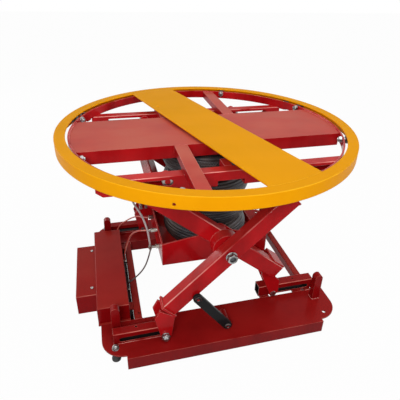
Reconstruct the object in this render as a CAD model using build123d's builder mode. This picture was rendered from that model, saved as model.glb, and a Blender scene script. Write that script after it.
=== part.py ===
from build123d import *
import os
from math import atan2, cos, degrees, hypot, pi, radians, sin, tan

os.makedirs("parts", exist_ok=True)

# A pneumatic scissor lift table that carries a freely turning deck ring.
# Sizes are in millimetres. The origin is on the floor under the ring's centre,
# +X points right, +Y to the rear and +Z up. The table is modelled fully raised.

# Mechanism, seen from the front, in x and z
PIVOT_Z = 392
FOOT_X = 237.5
FOOT_Z = 72
HEAD_X = 207.1
HEAD_Z = 677
OUTER_TILT = 43.5
INNER_TILT = 39.5

# Running clearances
GAP = 0.3
FIT = 0.05

# Leg frames: outer legs stand further back at the rear than at the front
OUTER_NEAR = 324
OUTER_FAR = 372
INNER_NEAR = 232
INNER_FAR = 280
REAR_SETBACK = 15
TUBE_WIDTH = OUTER_FAR - OUTER_NEAR
TUBE_HEIGHT = 64
TUBE_WALL = 5
TUBE_CORNER = 6
OUTER_DOWN = 300
OUTER_UP = 290
INNER_DOWN = 308
INNER_UP = 318
CHEEK = 8
AXLE_R = 9
PIN_R = 15
LINK_WIDTH = 34

# Base
DECK_Z = 54
STEEL = 5
CHANNEL_IN = 257
CHANNEL_OUT = 436
CHANNEL_HALF = 383
LOBE_HALF = 467
LOBE_OUT = 420
LOBE_CORNER = 83
TRACK_WALL = 4
FOOT_ROLLER_R = 13.7
SLOT_HEIGHT = 20

# Top frame
DECK_PLATE_HALF = 147
DECK_PLATE_TOP = 726
FLANGE_BOTTOM = 679
RAIL_NEAR = 281
RAIL_FAR = 322
RAIL_BOTTOM = 646
RAIL_TOP = 699
RAIL_HALF = 427
RAIL_WALL = 4
HEAD_ROLLER_R = 17.7
BAND_IN = 504
BAND_OUT = 510
BAND_TOP = 731

# Ring
RING_R = 555
RING_IN = 517
RING_TOP = 740
RING_BOTTOM = 696
RING_ROLLERS = 8
RING_ROLLER_R = 14
RING_AXLE_Z = 720.7
GUIDE_AZIMUTHS = (31.5, 150, 270)
GUIDE_RADIUS = 536
GUIDE_ROLLER_R = 13.7
STRAP_WIDTH = 200
STRAP_TURN = 16

# Air bag and its cradle
CRADLE_LEFT = -216
CRADLE_RIGHT = 204
CRADLE_HALF = 203
CRADLE_SHEET = 6
CRADLE_FLOOR = 257
BAG_TOP = 675
BAG_R = 175
BAG_WAIST = 138
BAG_LOBES = 4

SIDES = ("front", "rear")


def sided(side, distance, setback=0):
    """World y of a distance from the middle, on the front or the rear side."""
    return -distance if side == "front" else distance + setback


def upright(y_one, y_two):
    """Plane square to Y at the rear of two y values; outlines on it are in world x and z."""
    return Plane.XZ.offset(-max(y_one, y_two))


def tilted(y_one, y_two, direction):
    """The upright plane centred on the pivot, with its own x along a leg direction."""
    start = (0, max(y_one, y_two), PIVOT_Z)
    return Plane(origin=start, x_dir=(direction[0], 0, direction[1]), z_dir=(0, -1, 0))


def cross_section(y_middle, direction, distance):
    """Plane square to a leg at a distance from the pivot; its x is world Y."""
    start = (direction[0] * distance, y_middle, PIVOT_Z + direction[1] * distance)
    return Plane(origin=start, x_dir=(0, 1, 0), z_dir=(direction[0], 0, direction[1]))


def leg_point(direction, along, above):
    """World x and z of a point given along a leg from the pivot and square above its axis."""
    x = direction[0] * along - direction[1] * above
    z = direction[1] * along + direction[0] * above
    return (x, PIVOT_Z + z)


# Both leg directions point from the pivot up to the right in their own frames
OUTER = (cos(radians(OUTER_TILT)), sin(radians(OUTER_TILT)))
INNER = (cos(radians(INNER_TILT)), -sin(radians(INNER_TILT)))

LOWER_PIN = (-FOOT_X / 2, (PIVOT_Z + FOOT_Z) / 2)
UPPER_PIN = (-HEAD_X / 2, (PIVOT_Z + HEAD_Z) / 2)

# Base: two folded floor channels with rounded corner lobes
ANCHOR = (409, 388)
LEVELLER_X = -420
LEVELLER_OUT = 380
BASE_LUG_NEAR = 311
BASE_LUG_FAR = 371
LINK_NEAR = 374
LINK_FAR = 386
LINK_PIN_R = 8
LUG_R = 14

for side in SIDES:
    sign = -1 if side == "front" else 1
    with BuildPart() as floor_channel:
        with BuildSketch(Plane.XY.offset(DECK_Z - STEEL)) as deck:
            with Locations((0, sign * (CHANNEL_IN + CHANNEL_OUT) / 2)):
                Rectangle(2 * CHANNEL_HALF, CHANNEL_OUT - CHANNEL_IN)
            with Locations((0, sign * (CHANNEL_IN + LOBE_OUT) / 2)):
                Rectangle(2 * LOBE_HALF, LOBE_OUT - CHANNEL_IN)
            lobe_ends = deck.vertices().filter_by(lambda v: abs(v.X) > LOBE_HALF - 1)
            fillet(lobe_ends.filter_by(lambda v: abs(v.Y) > LOBE_OUT - 1), LOBE_CORNER)
            with Locations((ANCHOR[0], sign * ANCHOR[1])):
                Circle(6.5, mode=Mode.SUBTRACT)
            with Locations((LEVELLER_X, sided(side, LEVELLER_OUT, REAR_SETBACK))):
                Circle(6.3, mode=Mode.SUBTRACT)
        extrude(amount=STEEL)
        with BuildSketch(Plane.XY):
            with Locations((0, sign * (CHANNEL_OUT - STEEL / 2))):
                Rectangle(2 * CHANNEL_HALF, STEEL)
            with Locations((0, sign * (CHANNEL_IN + STEEL / 2))):
                Rectangle(2 * LOBE_HALF - 40, STEEL)
        extrude(amount=DECK_Z - STEEL)
        lug_y = [sided(side, y, REAR_SETBACK) for y in (BASE_LUG_NEAR, BASE_LUG_FAR)]
        with BuildSketch(upright(*lug_y)):
            with Locations((0, (DECK_Z + FOOT_Z) / 2)):
                Rectangle(2 * LUG_R, FOOT_Z - DECK_Z)
            with Locations((0, FOOT_Z)):
                Circle(LUG_R)
        extrude(amount=BASE_LUG_FAR - BASE_LUG_NEAR)
        pin_y = [sided(side, y, REAR_SETBACK) for y in (BASE_LUG_FAR - 2, LINK_FAR + 4)]
        with BuildSketch(upright(*pin_y)):
            with Locations((0, FOOT_Z)):
                Circle(LINK_PIN_R - FIT)
        extrude(amount=abs(pin_y[0] - pin_y[1]))
        cap_y = [sided(side, y, REAR_SETBACK) for y in (LINK_FAR + GAP, LINK_FAR + 4)]
        with BuildSketch(upright(*cap_y)):
            with Locations((0, FOOT_Z)):
                Circle(12)
        extrude(amount=abs(cap_y[0] - cap_y[1]))
    floor_channel.part.label = f"{side}_floor_channel"
    export_step(floor_channel.part, f"parts/{side}_floor_channel.step")

# Base: tie beams between the channels, the left one with a shelf for the air gear
LEFT_TIE = (-339, -309)
RIGHT_TIE = (393, 423)
TIE_HEIGHT = 40
SHELF_TOP = DECK_Z
SHELF_SHEET = 6
COVER_X = (-476, -355)
COVER_Y = (-248, 270)
COVER_TOP = 128
SHELF_TABS = (-180, 225)

with BuildPart() as tie_beams:
    for (low, high), base_z in ((LEFT_TIE, 14), (RIGHT_TIE, 10)):
        with BuildSketch(Plane.XZ.offset(-CHANNEL_IN)):
            with Locations(((low + high) / 2, base_z + TIE_HEIGHT / 2)):
                RectangleRounded(high - low, TIE_HEIGHT, 5)
                RectangleRounded(high - low - 6, TIE_HEIGHT - 6, 2.5, mode=Mode.SUBTRACT)
        extrude(amount=2 * CHANNEL_IN)
    with BuildSketch(Plane.XY.offset(SHELF_TOP - SHELF_SHEET)):
        with Locations((sum(COVER_X) / 2, 0)):
            Rectangle(COVER_X[1] - COVER_X[0], 2 * CHANNEL_IN)
        with Locations(*[((COVER_X[1] + LEFT_TIE[0]) / 2, y) for y in SHELF_TABS]):
            Rectangle(LEFT_TIE[0] - COVER_X[1] + 2, 40)
    extrude(amount=SHELF_SHEET)
    with Locations((-320, -226.6, DECK_Z)):
        Hole(4, depth=4)
tie_beams.part.label = "tie_beams"
export_step(tie_beams.part, "parts/tie_beams.step")

# Base: slotted box tracks for the foot rollers
OUTER_TRACK_X = (-424, -214)
OUTER_TRACK_Y = (326, 362)
OUTER_TRACK_TOP = 102
INNER_TRACK_X = (178, 424)
INNER_TRACK_Y = (206, 248)
INNER_TRACK_TOP = 104
TRACK_SLOT = (228, 404)
TRACK_TAB_X = (205, 355)


def box_track(x_range, y_range, z_range, wall, slot_x, slot_z):
    """A box-section track along X with a roller slot through both of its side walls."""
    with BuildPart() as track:
        with BuildSketch(Plane.YZ.offset(x_range[0])):
            with Locations((sum(y_range) / 2, sum(z_range) / 2)):
                RectangleRounded(abs(y_range[1] - y_range[0]), z_range[1] - z_range[0], 4)
                Rectangle(abs(y_range[1] - y_range[0]) - 2 * wall, z_range[1] - z_range[0] - 2 * wall,
                          mode=Mode.SUBTRACT)
        extrude(amount=x_range[1] - x_range[0])
        for low, high in slot_x:
            with BuildSketch(upright(*y_range)):
                with Locations(((low + high) / 2, slot_z)):
                    SlotOverall(high - low, SLOT_HEIGHT)
            extrude(amount=abs(y_range[1] - y_range[0]), mode=Mode.SUBTRACT)
    return track


outer_tracks = []
inner_tracks = []
for side in SIDES:
    y_range = [sided(side, y, REAR_SETBACK) for y in OUTER_TRACK_Y]
    outer_tracks.append(box_track(OUTER_TRACK_X, y_range, (DECK_Z, OUTER_TRACK_TOP), TRACK_WALL,
                                  [(-TRACK_SLOT[1], -TRACK_SLOT[0])], FOOT_Z))
    y_range = [sided(side, y) for y in INNER_TRACK_Y]
    inner_tracks.append(box_track(INNER_TRACK_X, y_range, (DECK_Z, INNER_TRACK_TOP), TRACK_WALL,
                                  [TRACK_SLOT], FOOT_Z))

with BuildPart() as outer_leg_tracks:
    for track in outer_tracks:
        add(track.part)
    with Locations((-340, -338, OUTER_TRACK_TOP), (-337, 352, OUTER_TRACK_TOP)):
        Hole(4, depth=TRACK_WALL)
outer_leg_tracks.part.label = "outer_leg_tracks"
export_step(outer_leg_tracks.part, "parts/outer_leg_tracks.step")

with BuildPart() as inner_leg_tracks:
    for track in inner_tracks:
        add(track.part)
    with Locations((339, -225, INNER_TRACK_TOP), (339, 225, INNER_TRACK_TOP)):
        Hole(4, depth=TRACK_WALL)
    for side in SIDES:
        with BuildSketch(Plane.XY.offset(DECK_Z - 8)):
            with Locations(*[(x, sided(side, (230 + CHANNEL_IN) / 2)) for x in TRACK_TAB_X]):
                Rectangle(40, CHANNEL_IN - 230)
        extrude(amount=8)
inner_leg_tracks.part.label = "inner_leg_tracks"
export_step(inner_leg_tracks.part, "parts/inner_leg_tracks.step")

# Base: four posts that the top frame's rails come to rest on
POST_X = 410
POST_HALF = 16
POST_Y = (286, 314)
POST_TOP = 177.5
POST_SHOULDER = POST_TOP - POST_HALF

with BuildPart() as stop_posts:
    for side in SIDES:
        post_y = [sided(side, y) for y in POST_Y]
        with BuildSketch(upright(*post_y)):
            for x in (-POST_X, POST_X):
                with Locations((x, (DECK_Z + POST_SHOULDER) / 2)):
                    Rectangle(2 * POST_HALF, POST_SHOULDER - DECK_Z)
                with Locations((x, POST_SHOULDER)):
                    Circle(POST_HALF)
        extrude(amount=POST_Y[1] - POST_Y[0])
stop_posts.part.label = "stop_posts"
export_step(stop_posts.part, "parts/stop_posts.step")

# Base: levelling bolts in the left lobes and the rubber feet on them
BOLT_R = 6
leveller_places = [(LEVELLER_X, sided(side, LEVELLER_OUT, REAR_SETBACK)) for side in SIDES]

with BuildPart() as levelling_bolts:
    for place in leveller_places:
        with BuildSketch(Plane.XY.offset(20)):
            with Locations(place):
                Circle(BOLT_R)
        extrude(amount=DECK_Z - 20)
        with BuildSketch(Plane.XY.offset(DECK_Z)):
            with Locations(place):
                Circle(13)
        extrude(amount=2.5)
        with BuildSketch(Plane.XY.offset(DECK_Z + 2.5)):
            with Locations(place):
                RegularPolygon(10.4, 6)
        extrude(amount=8)
levelling_bolts.part.label = "levelling_bolts"
export_step(levelling_bolts.part, "parts/levelling_bolts.step")

with BuildPart() as rubber_feet:
    for place in leveller_places:
        with BuildSketch(Plane.XY):
            with Locations(place):
                Circle(24)
        extrude(amount=12)
        with BuildSketch(Plane.XY.offset(12)):
            with Locations(place):
                Circle(19)
        extrude(amount=DECK_Z - STEEL - 12)
        with BuildSketch(Plane.XY.offset(19)):
            with Locations(place):
                Circle(BOLT_R + GAP)
        extrude(amount=DECK_Z, mode=Mode.SUBTRACT)
rubber_feet.part.label = "rubber_feet"
export_step(rubber_feet.part, "parts/rubber_feet.step")

# Base: sheet cover over the valve gear, and the control box beside it
COVER_SHEET = 2.5

with BuildPart() as air_cover:
    with BuildSketch(Plane.XY.offset(SHELF_TOP)):
        with Locations((sum(COVER_X) / 2, sum(COVER_Y) / 2)):
            RectangleRounded(COVER_X[1] - COVER_X[0], COVER_Y[1] - COVER_Y[0], 4)
    extrude(amount=COVER_TOP - SHELF_TOP)
    fillet(air_cover.faces().sort_by(Axis.Z)[-1].edges(), 3)
    with BuildSketch(Plane.XY.offset(SHELF_TOP)):
        with Locations((sum(COVER_X) / 2, sum(COVER_Y) / 2)):
            Rectangle(COVER_X[1] - COVER_X[0] - 2 * COVER_SHEET, COVER_Y[1] - COVER_Y[0] - 2 * COVER_SHEET)
    extrude(amount=COVER_TOP - SHELF_TOP - COVER_SHEET, mode=Mode.SUBTRACT)
air_cover.part.label = "air_cover"
export_step(air_cover.part, "parts/air_cover.step")

with BuildPart() as valve_block:
    with BuildSketch(Plane.XY.offset(SHELF_TOP)):
        with Locations((-418, 10)):
            RectangleRounded(70, 130, 5)
    extrude(amount=46)
    with Locations(*[(-418, y, SHELF_TOP + 46) for y in (-35, 10, 55)]):
        Cylinder(13, 18, align=(Align.CENTER, Align.CENTER, Align.MIN))
valve_block.part.label = "valve_block"
export_step(valve_block.part, "parts/valve_block.step")

BOX_X = (-555, -476)
BOX_Y = (-146, 188)
BOX_Z = (18, 110)
BOX_SHEET = 2.5

with BuildPart() as control_box:
    with BuildSketch(Plane.YZ.offset(BOX_X[0])):
        with Locations((sum(BOX_Y) / 2, sum(BOX_Z) / 2)):
            RectangleRounded(BOX_Y[1] - BOX_Y[0], BOX_Z[1] - BOX_Z[0], 5)
    extrude(amount=BOX_X[1] - BOX_X[0])
    with BuildSketch(Plane.YZ.offset(BOX_X[0] + BOX_SHEET)):
        with Locations((sum(BOX_Y) / 2, sum(BOX_Z) / 2)):
            Rectangle(BOX_Y[1] - BOX_Y[0] - 2 * BOX_SHEET, BOX_Z[1] - BOX_Z[0] - 2 * BOX_SHEET)
    extrude(amount=BOX_X[1] - BOX_X[0], mode=Mode.SUBTRACT)
control_box.part.label = "control_box"
export_step(control_box.part, "parts/control_box.step")

with BuildPart() as control_box_screws:
    with Locations((-489, 145, BOX_Z[1]), (-492, -104, BOX_Z[1])):
        Cylinder(5, 3, align=(Align.CENTER, Align.CENTER, Align.MIN))
control_box_screws.part.label = "control_box_screws"
export_step(control_box_screws.part, "parts/control_box_screws.step")

# Lower links: flat bars that keep the scissor centred over the base
with BuildPart() as lower_links:
    for side in SIDES:
        link_y = [sided(side, y, REAR_SETBACK) for y in (LINK_NEAR, LINK_FAR)]
        with BuildSketch(upright(*link_y)):
            with Locations((LOWER_PIN[0] / 2, (FOOT_Z + LOWER_PIN[1]) / 2)):
                SlotCenterToCenter(hypot(LOWER_PIN[0], LOWER_PIN[1] - FOOT_Z), LINK_WIDTH,
                                   rotation=degrees(atan2(LOWER_PIN[1] - FOOT_Z, LOWER_PIN[0])))
            with Locations((0, FOOT_Z), LOWER_PIN):
                Circle(LINK_PIN_R, mode=Mode.SUBTRACT)
        extrude(amount=LINK_FAR - LINK_NEAR)
lower_links.part.label = "lower_links"
export_step(lower_links.part, "parts/lower_links.step")

# Outer legs: box tubes with a pivot boss and a lug under the tube for the lower link
LOWER_PIN_ALONG = LOWER_PIN[0] * OUTER[0] + (LOWER_PIN[1] - PIVOT_Z) * OUTER[1]
LOWER_PIN_ABOVE = -LOWER_PIN[0] * OUTER[1] + (LOWER_PIN[1] - PIVOT_Z) * OUTER[0]
BOSS_R = 24
LEG_LUG_NEAR = 350

for side in SIDES:
    near, far = [sided(side, y, REAR_SETBACK) for y in (OUTER_NEAR, OUTER_FAR)]
    with BuildPart() as outer_leg:
        with BuildSketch(cross_section((near + far) / 2, OUTER, -OUTER_DOWN)):
            RectangleRounded(TUBE_WIDTH, TUBE_HEIGHT, TUBE_CORNER)
            RectangleRounded(TUBE_WIDTH - 2 * TUBE_WALL, TUBE_HEIGHT - 2 * TUBE_WALL, 2, mode=Mode.SUBTRACT)
        extrude(amount=OUTER_DOWN + OUTER_UP)
        with BuildSketch(upright(near, far)):
            with Locations((0, PIVOT_Z)):
                Circle(BOSS_R)
        extrude(amount=OUTER_FAR - OUTER_NEAR)
        with BuildSketch(upright(near, far)):
            with Locations((0, PIVOT_Z)):
                Circle(PIN_R + FIT)
        extrude(amount=OUTER_FAR - OUTER_NEAR, mode=Mode.SUBTRACT)
        lug_y = [sided(side, y, REAR_SETBACK) for y in (LEG_LUG_NEAR, OUTER_FAR)]
        with BuildSketch(tilted(*lug_y, OUTER)):
            with Locations((LOWER_PIN_ALONG, (LOWER_PIN_ABOVE - TUBE_HEIGHT / 2) / 2)):
                Rectangle(2 * LUG_R, TUBE_HEIGHT / 2 + LOWER_PIN_ABOVE + 4)
            with Locations((LOWER_PIN_ALONG, LOWER_PIN_ABOVE)):
                Circle(LUG_R - 1)
        extrude(amount=OUTER_FAR - LEG_LUG_NEAR)
        pin_y = [sided(side, y, REAR_SETBACK) for y in (OUTER_FAR - 2, LINK_FAR + 4)]
        with BuildSketch(upright(*pin_y)):
            with Locations(LOWER_PIN):
                Circle(LINK_PIN_R - FIT)
        extrude(amount=abs(pin_y[0] - pin_y[1]))
        cap_y = [sided(side, y, REAR_SETBACK) for y in (LINK_FAR + GAP, LINK_FAR + 4)]
        with BuildSketch(upright(*cap_y)):
            with Locations(LOWER_PIN):
                Circle(12)
        extrude(amount=abs(cap_y[0] - cap_y[1]))
    outer_leg.part.label = f"{side}_outer_leg"
    export_step(outer_leg.part, f"parts/{side}_outer_leg.step")

# Outer legs: foot brackets whose two cheeks straddle the track
OUTER_FOOT_OUTLINE = ((-274, 162), (-255, 197), (-202, 160), (-214, 72), (-226, 64), (-249, 64), (-255, 72))
FOOT_EYE_R = 15.5

with BuildPart() as outer_foot_brackets:
    for side in SIDES:
        for near, far in ((OUTER_NEAR - CHEEK, OUTER_NEAR), (OUTER_FAR, OUTER_FAR + CHEEK)):
            cheek_y = [sided(side, y, REAR_SETBACK) for y in (near, far)]
            with BuildSketch(upright(*cheek_y)):
                Polygon(*OUTER_FOOT_OUTLINE, align=None)
                with Locations((-FOOT_X, FOOT_Z)):
                    Circle(FOOT_EYE_R)
                    Circle(AXLE_R + GAP / 3, mode=Mode.SUBTRACT)
            extrude(amount=CHEEK)
        cap_y = [sided(side, y, REAR_SETBACK) for y in (OUTER_NEAR - CHEEK, OUTER_FAR + CHEEK)]
        with BuildSketch(tilted(*cap_y, OUTER)):
            with Locations((-OUTER_DOWN - CHEEK / 2, 2)):
                Rectangle(CHEEK, TUBE_HEIGHT + 4)
        extrude(amount=OUTER_FAR - OUTER_NEAR + 2 * CHEEK)
outer_foot_brackets.part.label = "outer_foot_brackets"
export_step(outer_foot_brackets.part, "parts/outer_foot_brackets.step")

# Outer legs: foot axles with a washer and cap nut on the outside
with BuildPart() as outer_foot_axles:
    for side in SIDES:
        axle_y = [sided(side, y, REAR_SETBACK) for y in (OUTER_NEAR - CHEEK, OUTER_FAR + CHEEK)]
        with BuildSketch(upright(*axle_y)):
            with Locations((-FOOT_X, FOOT_Z)):
                Circle(AXLE_R)
        extrude(amount=abs(axle_y[0] - axle_y[1]))
        washer_y = [sided(side, y, REAR_SETBACK) for y in (OUTER_FAR + CHEEK, OUTER_FAR + CHEEK + 2)]
        with BuildSketch(upright(*washer_y)):
            with Locations((-FOOT_X, FOOT_Z)):
                Circle(14)
        extrude(amount=2)
        nut_y = [sided(side, y, REAR_SETBACK) for y in (OUTER_FAR + CHEEK + 2, OUTER_FAR + CHEEK + 12)]
        with BuildSketch(upright(*nut_y)):
            with Locations((-FOOT_X, FOOT_Z)):
                RegularPolygon(12, 6)
        extrude(amount=10)
outer_foot_axles.part.label = "outer_foot_axles"
export_step(outer_foot_axles.part, "parts/outer_foot_axles.step")


def cranked_head(body, side, direction, end_along, end_plate_y, cheek_y, axle_y, roller):
    """An end plate on a leg tube, a cheek that rises from it and a stub axle in the cheek.

    Distances from the middle are given near first; roller is the axle's place in x and z.
    """
    setback = REAR_SETBACK if body == "outer" else 0
    plate = [sided(side, y, setback) for y in end_plate_y]
    cheek = [sided(side, y, setback) for y in cheek_y]
    stub = [sided(side, axle_y[0]), sided(side, axle_y[1], setback)]
    upward = 1 if end_along > 0 else -1
    roller_along = roller[0] * direction[0] + (roller[1] - PIVOT_Z) * direction[1]
    roller_above = -roller[0] * direction[1] + (roller[1] - PIVOT_Z) * direction[0]
    with BuildPart() as head:
        with BuildSketch(tilted(*plate, direction)):
            with Locations((end_along + upward * CHEEK / 2, 0)):
                Rectangle(CHEEK, TUBE_HEIGHT)
        extrude(amount=abs(plate[0] - plate[1]))
        with BuildSketch(tilted(*cheek, direction)) as outline:
            with Locations((end_along + upward * CHEEK / 2, 0)):
                Rectangle(CHEEK, TUBE_HEIGHT)
            with Locations((roller_along, roller_above)):
                Circle(18)
            make_hull()
        extrude(amount=CHEEK)
        with BuildSketch(upright(*stub)):
            with Locations(roller):
                Circle(AXLE_R)
        extrude(amount=abs(stub[0] - stub[1]))
    return head


HEAD_AXLE_NEAR = 287
OUTER_HEAD_CHEEK = (326, 334)
INNER_HEAD_CHEEK = (269, 277)
HEAD_AXLE_FAR = 316

outer_heads = [cranked_head("outer", side, OUTER, OUTER_UP, (OUTER_NEAR, OUTER_FAR), OUTER_HEAD_CHEEK,
                            (HEAD_AXLE_NEAR, OUTER_HEAD_CHEEK[1]), (HEAD_X, HEAD_Z)) for side in SIDES]
with BuildPart() as outer_top_brackets:
    for head in outer_heads:
        add(head.part)
outer_top_brackets.part.label = "outer_top_brackets"
export_step(outer_top_brackets.part, "parts/outer_top_brackets.step")

inner_heads = [cranked_head("inner", side, INNER, -INNER_UP, (INNER_NEAR, INNER_FAR), INNER_HEAD_CHEEK,
                            (INNER_HEAD_CHEEK[0], HEAD_AXLE_FAR), (-HEAD_X, HEAD_Z)) for side in SIDES]
with BuildPart() as inner_top_brackets:
    for head in inner_heads:
        add(head.part)
inner_top_brackets.part.label = "inner_top_brackets"
export_step(inner_top_brackets.part, "parts/inner_top_brackets.step")

# Inner legs: tubes with the pivot's spacer disc outside and the upper link's lug inside
SPACER_R = 52
UPPER_PIN_ALONG = UPPER_PIN[0] * INNER[0] + (UPPER_PIN[1] - PIVOT_Z) * INNER[1]
UPPER_PIN_ABOVE = -UPPER_PIN[0] * INNER[1] + (UPPER_PIN[1] - PIVOT_Z) * INNER[0]
UPPER_LINK_NEAR = 215
UPPER_LINK_FAR = 225
UPPER_PIN_R = 6

for side in SIDES:
    near, far = [sided(side, y) for y in (INNER_NEAR, INNER_FAR)]
    spacer_end = sided(side, OUTER_NEAR - 2, REAR_SETBACK)
    with BuildPart() as inner_leg:
        with BuildSketch(cross_section((near + far) / 2, INNER, -INNER_UP)):
            RectangleRounded(TUBE_WIDTH, TUBE_HEIGHT, TUBE_CORNER)
            RectangleRounded(TUBE_WIDTH - 2 * TUBE_WALL, TUBE_HEIGHT - 2 * TUBE_WALL, 2, mode=Mode.SUBTRACT)
        extrude(amount=INNER_DOWN + INNER_UP)
        with BuildSketch(upright(near, far)):
            with Locations((0, PIVOT_Z)):
                Circle(BOSS_R)
        extrude(amount=INNER_FAR - INNER_NEAR)
        with BuildSketch(upright(far, spacer_end)):
            with Locations((0, PIVOT_Z)):
                Circle(SPACER_R)
        extrude(amount=abs(far - spacer_end))
        with BuildSketch(upright(near, spacer_end)):
            with Locations((0, PIVOT_Z)):
                Circle(PIN_R + FIT)
        extrude(amount=abs(near - spacer_end), mode=Mode.SUBTRACT)
        lug_y = [sided(side, y) for y in (UPPER_LINK_FAR + 1.5, INNER_NEAR)]
        with BuildSketch(tilted(*lug_y, INNER)):
            with Locations((UPPER_PIN_ALONG, UPPER_PIN_ABOVE / 2)):
                Rectangle(40, UPPER_PIN_ABOVE)
            with Locations((UPPER_PIN_ALONG, UPPER_PIN_ABOVE)):
                Circle(LUG_R)
        extrude(amount=INNER_NEAR - UPPER_LINK_FAR - 1.5)
        pin_y = [sided(side, y) for y in (UPPER_LINK_NEAR - 4, INNER_NEAR)]
        with BuildSketch(upright(*pin_y)):
            with Locations(UPPER_PIN):
                Circle(UPPER_PIN_R - FIT)
        extrude(amount=abs(pin_y[0] - pin_y[1]))
        cap_y = [sided(side, y) for y in (UPPER_LINK_NEAR - 4, UPPER_LINK_NEAR - GAP)]
        with BuildSketch(upright(*cap_y)):
            with Locations(UPPER_PIN):
                Circle(10)
        extrude(amount=abs(cap_y[0] - cap_y[1]))
    inner_leg.part.label = f"{side}_inner_leg"
    export_step(inner_leg.part, f"parts/{side}_inner_leg.step")

# Inner legs: cross tube that ties the two tubes near their upper ends
CROSS_ALONG = -295
CROSS_SIZE = 40

with BuildPart() as inner_cross_tube:
    with BuildSketch(tilted(-INNER_NEAR, INNER_NEAR, INNER)):
        with Locations((CROSS_ALONG, 0)):
            RectangleRounded(CROSS_SIZE, CROSS_SIZE, 4)
            Rectangle(CROSS_SIZE - 6, CROSS_SIZE - 6, mode=Mode.SUBTRACT)
    extrude(amount=2 * INNER_NEAR)
inner_cross_tube.part.label = "inner_cross_tube"
export_step(inner_cross_tube.part, "parts/inner_cross_tube.step")

# Inner legs: foot brackets, with a saddle plate over the tube's end
SADDLE_FROM = 250
RISER_IN = 192
RISER_OUT = RISER_IN + CHEEK
FOOT_CHEEK_IN = 254
FOOT_CHEEK_OUT = FOOT_CHEEK_IN + CHEEK
PLATE = 6
INNER_FOOT_OUTLINE = ((177, 182), leg_point(INNER, SADDLE_FROM + 7, -TUBE_HEIGHT / 2),
                      leg_point(INNER, INNER_DOWN, -TUBE_HEIGHT / 2), (223, 177), (259, 139), (260, 85),
                      (250, 64), (226, 64))

with BuildPart() as inner_foot_brackets:
    for side in SIDES:
        for near, far in ((RISER_IN, RISER_OUT), (FOOT_CHEEK_IN, FOOT_CHEEK_OUT)):
            cheek_y = [sided(side, y) for y in (near, far)]
            with BuildSketch(upright(*cheek_y)):
                Polygon(*INNER_FOOT_OUTLINE, align=None)
                with Locations((FOOT_X, FOOT_Z)):
                    Circle(FOOT_EYE_R)
                    Circle(AXLE_R + GAP / 3, mode=Mode.SUBTRACT)
            extrude(amount=CHEEK)
        riser_y = [sided(side, y) for y in (RISER_IN, RISER_OUT)]
        with BuildSketch(tilted(*riser_y, INNER)):
            with Locations(((SADDLE_FROM + INNER_DOWN) / 2, 0)):
                Rectangle(INNER_DOWN - SADDLE_FROM, TUBE_HEIGHT + 2 * PLATE)
        extrude(amount=CHEEK)
        saddle_y = [sided(side, y) for y in (RISER_IN, INNER_FAR)]
        with BuildSketch(tilted(*saddle_y, INNER)):
            with Locations(((SADDLE_FROM + INNER_DOWN) / 2, (TUBE_HEIGHT + PLATE) / 2)):
                Rectangle(INNER_DOWN - SADDLE_FROM, PLATE)
        extrude(amount=INNER_FAR - RISER_IN)
        floor_y = [sided(side, y) for y in (RISER_IN, FOOT_CHEEK_OUT)]
        with BuildSketch(tilted(*floor_y, INNER)):
            with Locations(((SADDLE_FROM + INNER_DOWN) / 2, -(TUBE_HEIGHT + PLATE) / 2)):
                Rectangle(INNER_DOWN - SADDLE_FROM, PLATE)
        extrude(amount=FOOT_CHEEK_OUT - RISER_IN)
inner_foot_brackets.part.label = "inner_foot_brackets"
export_step(inner_foot_brackets.part, "parts/inner_foot_brackets.step")

AXLE_HEAD = 3

with BuildPart() as inner_foot_axles:
    for side in SIDES:
        axle_y = [sided(side, y) for y in (RISER_IN - AXLE_HEAD, FOOT_CHEEK_OUT + AXLE_HEAD)]
        with BuildSketch(upright(*axle_y)):
            with Locations((FOOT_X, FOOT_Z)):
                Circle(AXLE_R)
        extrude(amount=abs(axle_y[0] - axle_y[1]))
        head_y = [sided(side, y) for y in (FOOT_CHEEK_OUT, FOOT_CHEEK_OUT + AXLE_HEAD)]
        with BuildSketch(upright(*head_y)):
            with Locations((FOOT_X, FOOT_Z)):
                Circle(13)
        extrude(amount=AXLE_HEAD)
inner_foot_axles.part.label = "inner_foot_axles"
export_step(inner_foot_axles.part, "parts/inner_foot_axles.step")

# Leg rollers: the front and rear roller of each leg end turn on one line
ROLLER_SETS = {
    "outer_foot_rollers": (-FOOT_X, FOOT_Z, FOOT_ROLLER_R, (332, 356), REAR_SETBACK),
    "inner_foot_rollers": (FOOT_X, FOOT_Z, FOOT_ROLLER_R, (212, 242), 0),
    "outer_head_rollers": (HEAD_X, HEAD_Z, HEAD_ROLLER_R, (289, 314), 0),
    "inner_head_rollers": (-HEAD_X, HEAD_Z, HEAD_ROLLER_R, (289, 314), 0),
}

for name, (x, z, radius, (near, far), setback) in ROLLER_SETS.items():
    with BuildPart() as rollers:
        for side in SIDES:
            roller_y = [sided(side, y, setback) for y in (near, far)]
            with BuildSketch(upright(*roller_y)):
                with Locations((x, z)):
                    Circle(radius)
                    Circle(AXLE_R + FIT, mode=Mode.SUBTRACT)
            extrude(amount=far - near)
        rims = rollers.edges().filter_by(GeomType.CIRCLE)
        chamfer(rims.filter_by(lambda e: e.radius > AXLE_R + 1), 1)
    rollers.part.label = name
    export_step(rollers.part, f"parts/{name}.step")

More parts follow.
